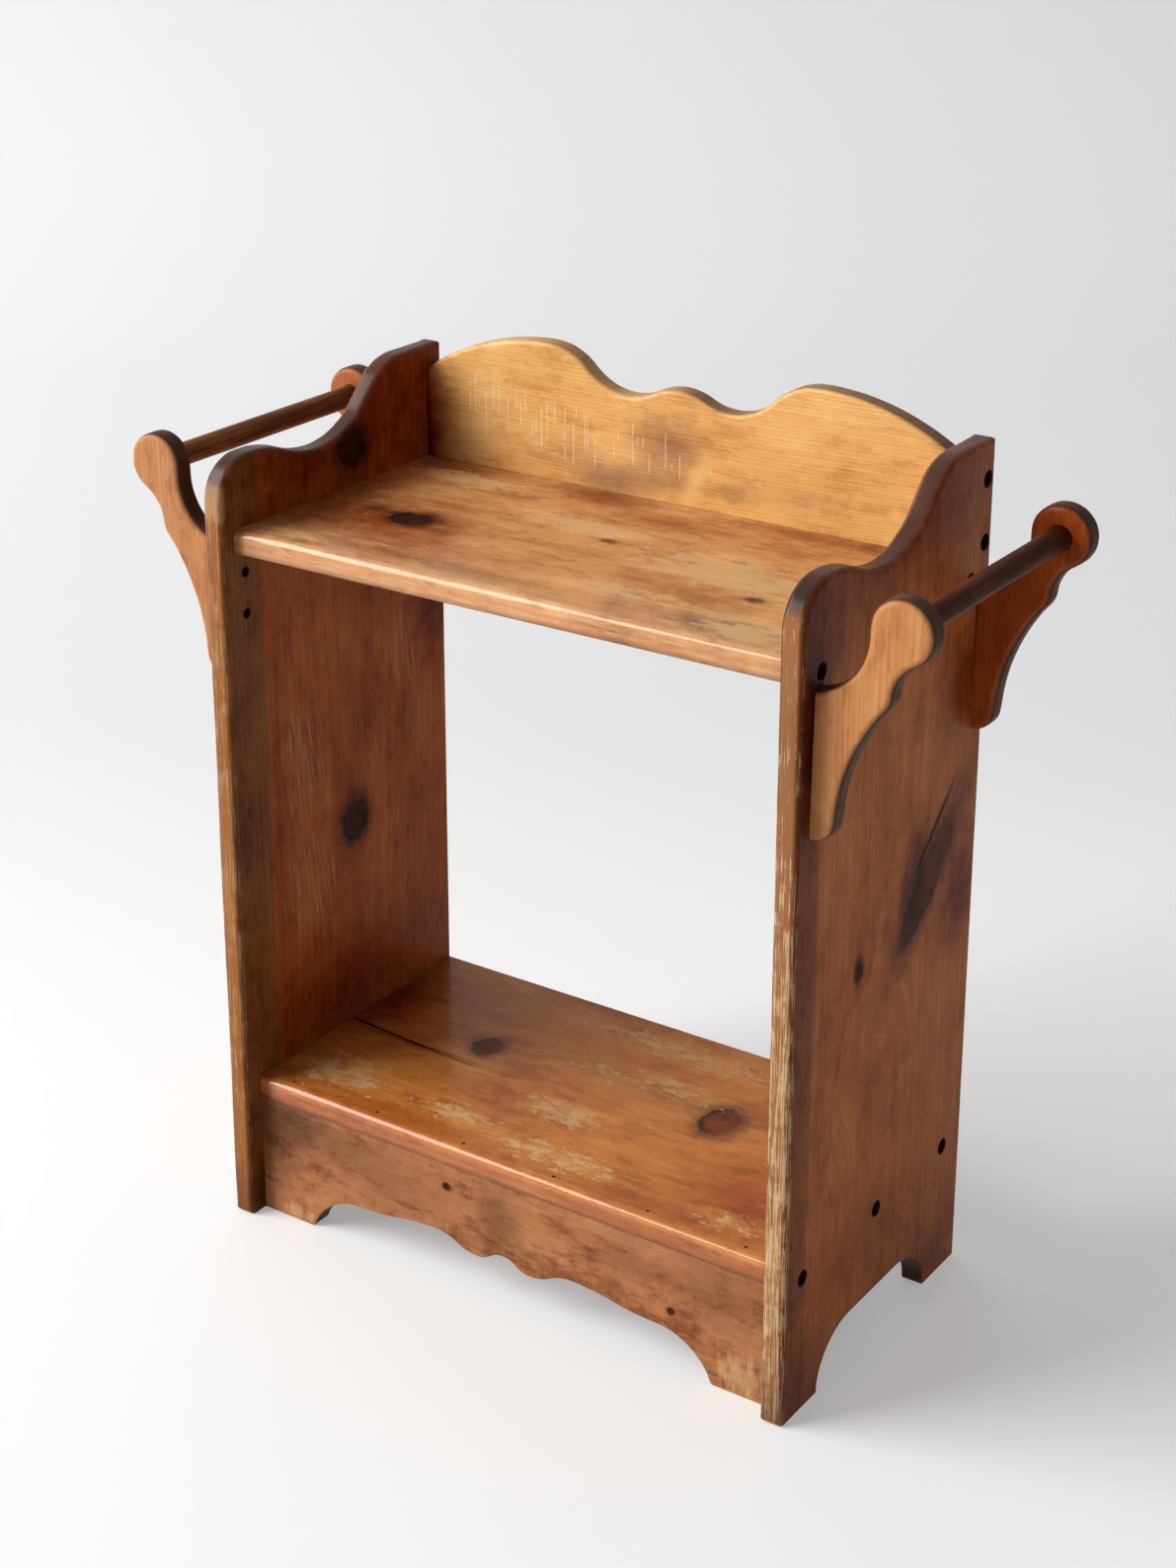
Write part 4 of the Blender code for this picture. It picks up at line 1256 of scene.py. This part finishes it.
def setOut(bench, ports, fastener):
    # one fastener on each point, its head turned to the way the point faces
    facing = bench.add("GeometryNodeInputNamedAttribute", {"data_type": "FLOAT_VECTOR"}, {"Name": "facing"})
    aimed = bench.add("FunctionNodeAlignRotationToVector", {"axis": "Z"}, {"Vector": facing})
    spin = bench.add(
        "FunctionNodeRandomValue", {"data_type": "FLOAT"}, {2: 0.0, 3: math.pi, "Seed": ports["Seed"]}, out=1
    )
    twist = bench.add("FunctionNodeEulerToRotation", inputs={0: bench.join(0.0, 0.0, spin)})
    turned = bench.add("FunctionNodeRotateRotation", {"rotation_space": "LOCAL"}, {0: aimed, 1: twist})
    copies = bench.add(
        "GeometryNodeInstanceOnPoints",
        inputs={"Points": ports["Points"], "Instance": fastener, "Rotation": turned},
    )
    real = bench.add("GeometryNodeRealizeInstances", inputs={0: copies})
    made = bench.add("GeometryNodeSetMaterial", inputs={"Geometry": real, "Material": ports["Finish"]})
    bench.add("NodeGroupOutput", inputs={"Geometry": made})


def screwTree():
    bench, ports = newTree("woodScrew", [*fastenerLook["screw"], "Length"])
    shape = fastenerLook["screwShape"]
    thick = ports["Head Depth"]
    head = cone(bench, 24, ports["Head Radius"], ports["Shank Radius"], thick, thick)
    slotSize = bench.join(ports["Head Radius"] * shape["slot"], ports["Slot Width"], thick)
    slot = bench.add("GeometryNodeMeshCube", inputs={"Size": slotSize})
    head = bench.add(
        "GeometryNodeMeshBoolean", {"operation": "DIFFERENCE"}, {"Mesh 1": head, "Mesh 2": slot}
    )
    body = ports["Length"] - thick
    core = ports["Shank Radius"] - ports["Thread"]
    shank = cone(bench, 12, core, shape["tip"], body, ports["Length"])
    spiral = bench.add(
        "GeometryNodeCurveSpiral",
        inputs={
            "Resolution": 10,
            "Rotations": shape["turns"],
            "Start Radius": shape["threadTip"],
            "End Radius": core,
            "Height": body * shape["threadHeight"],
        },
    )
    bead = bench.add("GeometryNodeCurvePrimitiveCircle", inputs={"Resolution": 4, "Radius": ports["Thread"]})
    thread = bench.add("GeometryNodeCurveToMesh", inputs={"Curve": spiral, "Profile Curve": bead})
    thread = moved(bench, thread, ports["Length"] * shape["threadFoot"])
    setOut(bench, ports, joined(bench, head, shank, thread))
    return bench.tree


def nailTree():
    bench, ports = newTree("finishNail", [*fastenerLook["nail"]])
    shape = fastenerLook["nailShape"]
    radius, length = ports["Head Radius"], ports["Length"]
    shank = cone(bench, 16, radius * shape["top"], radius * shape["foot"], length, length)
    ball = {"Segments": 16, "Rings": 8, "Radius": radius * shape["cap"]}
    cap = moved(bench, bench.add("GeometryNodeMeshUVSphere", inputs=ball), radius * shape["capAt"])
    setOut(bench, ports, joined(bench, shank, cap))
    return bench.tree


def pointsFacing(name, places):
    mesh = bpy.data.meshes.new(name)
    mesh.from_pydata([place for place, facing in places], [], [])
    facings = mesh.attributes.new("facing", "FLOAT_VECTOR", "POINT")
    for item, (place, facing) in zip(facings.data, places):
        item.vector = facing
    return mesh


def makeScrews(steel):
    # those of the shelves and backsplash go in from outside, those of the brackets from inside
    tree = screwTree()
    for kind in ("shelf", "bracket"):
        nodes = sorted(
            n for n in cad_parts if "_screw_" in n and ("bracket_screw" in n) == (kind == "bracket")
        )
        places, length = [], 0
        for node in nodes:
            low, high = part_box(node)
            middle = (low + high) / 2
            outward = math.copysign(1, middle.x) * (1 if kind == "shelf" else -1)
            length = high.x - low.x
            places.append(((high.x if outward > 0 else low.x, middle.y, middle.z), (outward, 0, 0)))
        values = dict(fastenerLook["screw"], Length=length, Seed=fastenerLook["slotSeed"], Finish=steel)
        piece = settle(kind + "Screws", pointsFacing(kind + "Points", places), nodes=(tree, values))
        dress(piece, None, "stand", "screw_steel", *nodes)


def makeNails(steel):
    nodes = sorted(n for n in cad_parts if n.startswith("apron_nail"))
    places = []
    for node in nodes:
        low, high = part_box(node)
        middle = (low + high) / 2
        places.append(((middle.x, middle.y, high.z), (0, 0, 1)))
    values = dict(fastenerLook["nail"], Seed=fastenerLook["slotSeed"], Finish=steel)
    piece = settle("apronNails", pointsFacing("nailPoints", places), nodes=(nailTree(), values))
    dress(piece, None, "stand", "screw_steel", *nodes)


steelFinish = dullSteel()
makeScrews(steelFinish)
makeNails(steelFinish)
print("screws and nails set")


# Studio: a white sweep behind the stand, a wide window light from the left, white surroundings

cameraLook = {
    "place": (1.1128, -1.6544, 1.2784),
    "azimuth": 34.254,
    "elevation": 19.371,
    "lens": 62.373,
    "shift": (0.00799, -0.1244),
}
studioLook = {
    # the paper is one white; the darker back and wall tones are painted shade, for the less light that
    # reaches far behind the stand
    "floorTone": (0.92, 0.926, 0.936, 1),
    "shadedBackTone": (0.70, 0.706, 0.715, 1),
    "shadedWallTone": (0.73, 0.736, 0.745, 1),
    "floorEnds": (0.1, 1.3),  # depths behind the stand over which one tone gives way to the next
    "wallStarts": (1.6, 3.4),
    "paperGlow": 0.30,  # how far the paper lightens for what the camera sees, straight or mirrored
    "paperRough": 0.6,
    "wallAt": 3.4,
    "bend": 0.6,
    "bendSteps": 12,
    "width": 14.0,
    "front": 6.0,
    "height": 4.0,
    "farPower": 0.86,  # the surroundings as the camera sees them
    "skyTone": (0.985, 0.99, 1.0, 1),
    "skyPower": 0.21,
    "windowPlace": (-4.2, -3.2, 3.4),
    "windowAim": (0.0, 0.0, 0.35),
    "windowSize": 4.4,
    "windowPower": 560.0,
    "windowTone": (1.0, 0.985, 0.96),
}


def seenRay(bench):
    # 1 for what the camera sees, straight or mirrored
    path = bench.add("ShaderNodeLightPath").socket.node.outputs
    kinds = ("Camera", "Glossy", "Transmission")
    camera, glossy, through = (Wire(bench, path[f"Is {kind} Ray"]) for kind in kinds)
    return bench.maths("MAXIMUM", bench.maths("MAXIMUM", camera, glossy), through)


def makeSweep():
    bend, wall = studioLook["bend"], studioLook["wallAt"]
    profile = [(-studioLook["front"], 0.0), (wall - bend, 0.0)]
    steps = studioLook["bendSteps"]
    for k in range(1, steps + 1):
        turn = math.pi / 2 * k / steps
        profile.append((wall - bend + bend * math.sin(turn), bend - bend * math.cos(turn)))
    profile.append((wall, studioLook["height"]))
    turn = math.radians(cameraLook["azimuth"])
    away = Vector((-math.sin(turn), math.cos(turn), 0))
    right = Vector((math.cos(turn), math.sin(turn), 0)) * studioLook["width"] / 2
    up = Vector((0, 0, 1))
    verts = [away * d + up * z + side for d, z in profile for side in (-right, right)]
    faces = [(2 * k, 2 * k + 1, 2 * k + 3, 2 * k + 2) for k in range(len(profile) - 1)]
    mesh = bpy.data.meshes.new("sweep")
    mesh.from_pydata(verts, [], faces)
    mesh.shade_smooth()
    sweep = bpy.data.objects.new("sweep", mesh)
    scene.collection.objects.link(sweep)
    material, bench = freshMaterial("whitePaint")
    x, y = bench.split(bench.add("ShaderNodeTexCoord", out="Object"))[:2]
    depth = x * away.x + y * away.y
    # painted shade: the paper darkens with depth behind the stand
    paint = bench.blend(
        bench.ease(depth, *studioLook["floorEnds"]), studioLook["floorTone"], studioLook["shadedBackTone"]
    )
    paint = bench.blend(bench.ease(depth, *studioLook["wallStarts"]), paint, studioLook["shadedWallTone"])
    rough = studioLook["paperRough"]
    shader = bench.add("ShaderNodeBsdfPrincipled", inputs={"Base Color": paint, "Roughness": rough})
    white = bench.add("ShaderNodeEmission", inputs={"Color": (1, 1, 1, 1), "Strength": 1.0})
    glow = seenRay(bench) * studioLook["paperGlow"]
    paper = bench.add("ShaderNodeMixShader", inputs={0: glow, 1: shader, 2: white})
    bench.add("ShaderNodeOutputMaterial", inputs={"Surface": paper})
    mesh.materials.append(material)


def makeLights():
    world = bpy.data.worlds.new("surroundings")
    scene.world = world
    world.use_nodes = True
    world.node_tree.nodes.clear()
    bench = Bench(world.node_tree)
    tone = studioLook["skyTone"]
    sky, pale = (
        bench.add("ShaderNodeBackground", inputs={"Color": tone, "Strength": studioLook[power]})
        for power in ("skyPower", "farPower")
    )
    surroundings = bench.add("ShaderNodeMixShader", inputs={0: seenRay(bench), 1: sky, 2: pale})
    bench.add("ShaderNodeOutputWorld", inputs={"Surface": surroundings})
    lamp = bpy.data.lights.new("window", "AREA")
    lamp.shape = "SQUARE"
    lamp.size = studioLook["windowSize"]
    lamp.energy = studioLook["windowPower"]
    lamp.color = studioLook["windowTone"]
    window = bpy.data.objects.new("window", lamp)
    window.location = studioLook["windowPlace"]
    aim = Vector(studioLook["windowAim"]) - window.location
    window.rotation_euler = aim.to_track_quat("-Z", "Y").to_euler()
    scene.collection.objects.link(window)


def makeCamera():
    lens = bpy.data.cameras.new("camera")
    lens.lens = cameraLook["lens"]
    lens.shift_x, lens.shift_y = cameraLook["shift"]
    camera = bpy.data.objects.new("camera", lens)
    camera.location = cameraLook["place"]
    camera.rotation_euler = (
        math.radians(90 - cameraLook["elevation"]),
        0,
        math.radians(cameraLook["azimuth"]),
    )
    scene.collection.objects.link(camera)
    scene.camera = camera


makeSweep()
makeLights()
makeCamera()
scene.view_settings.view_transform = "Standard"
print("studio set")
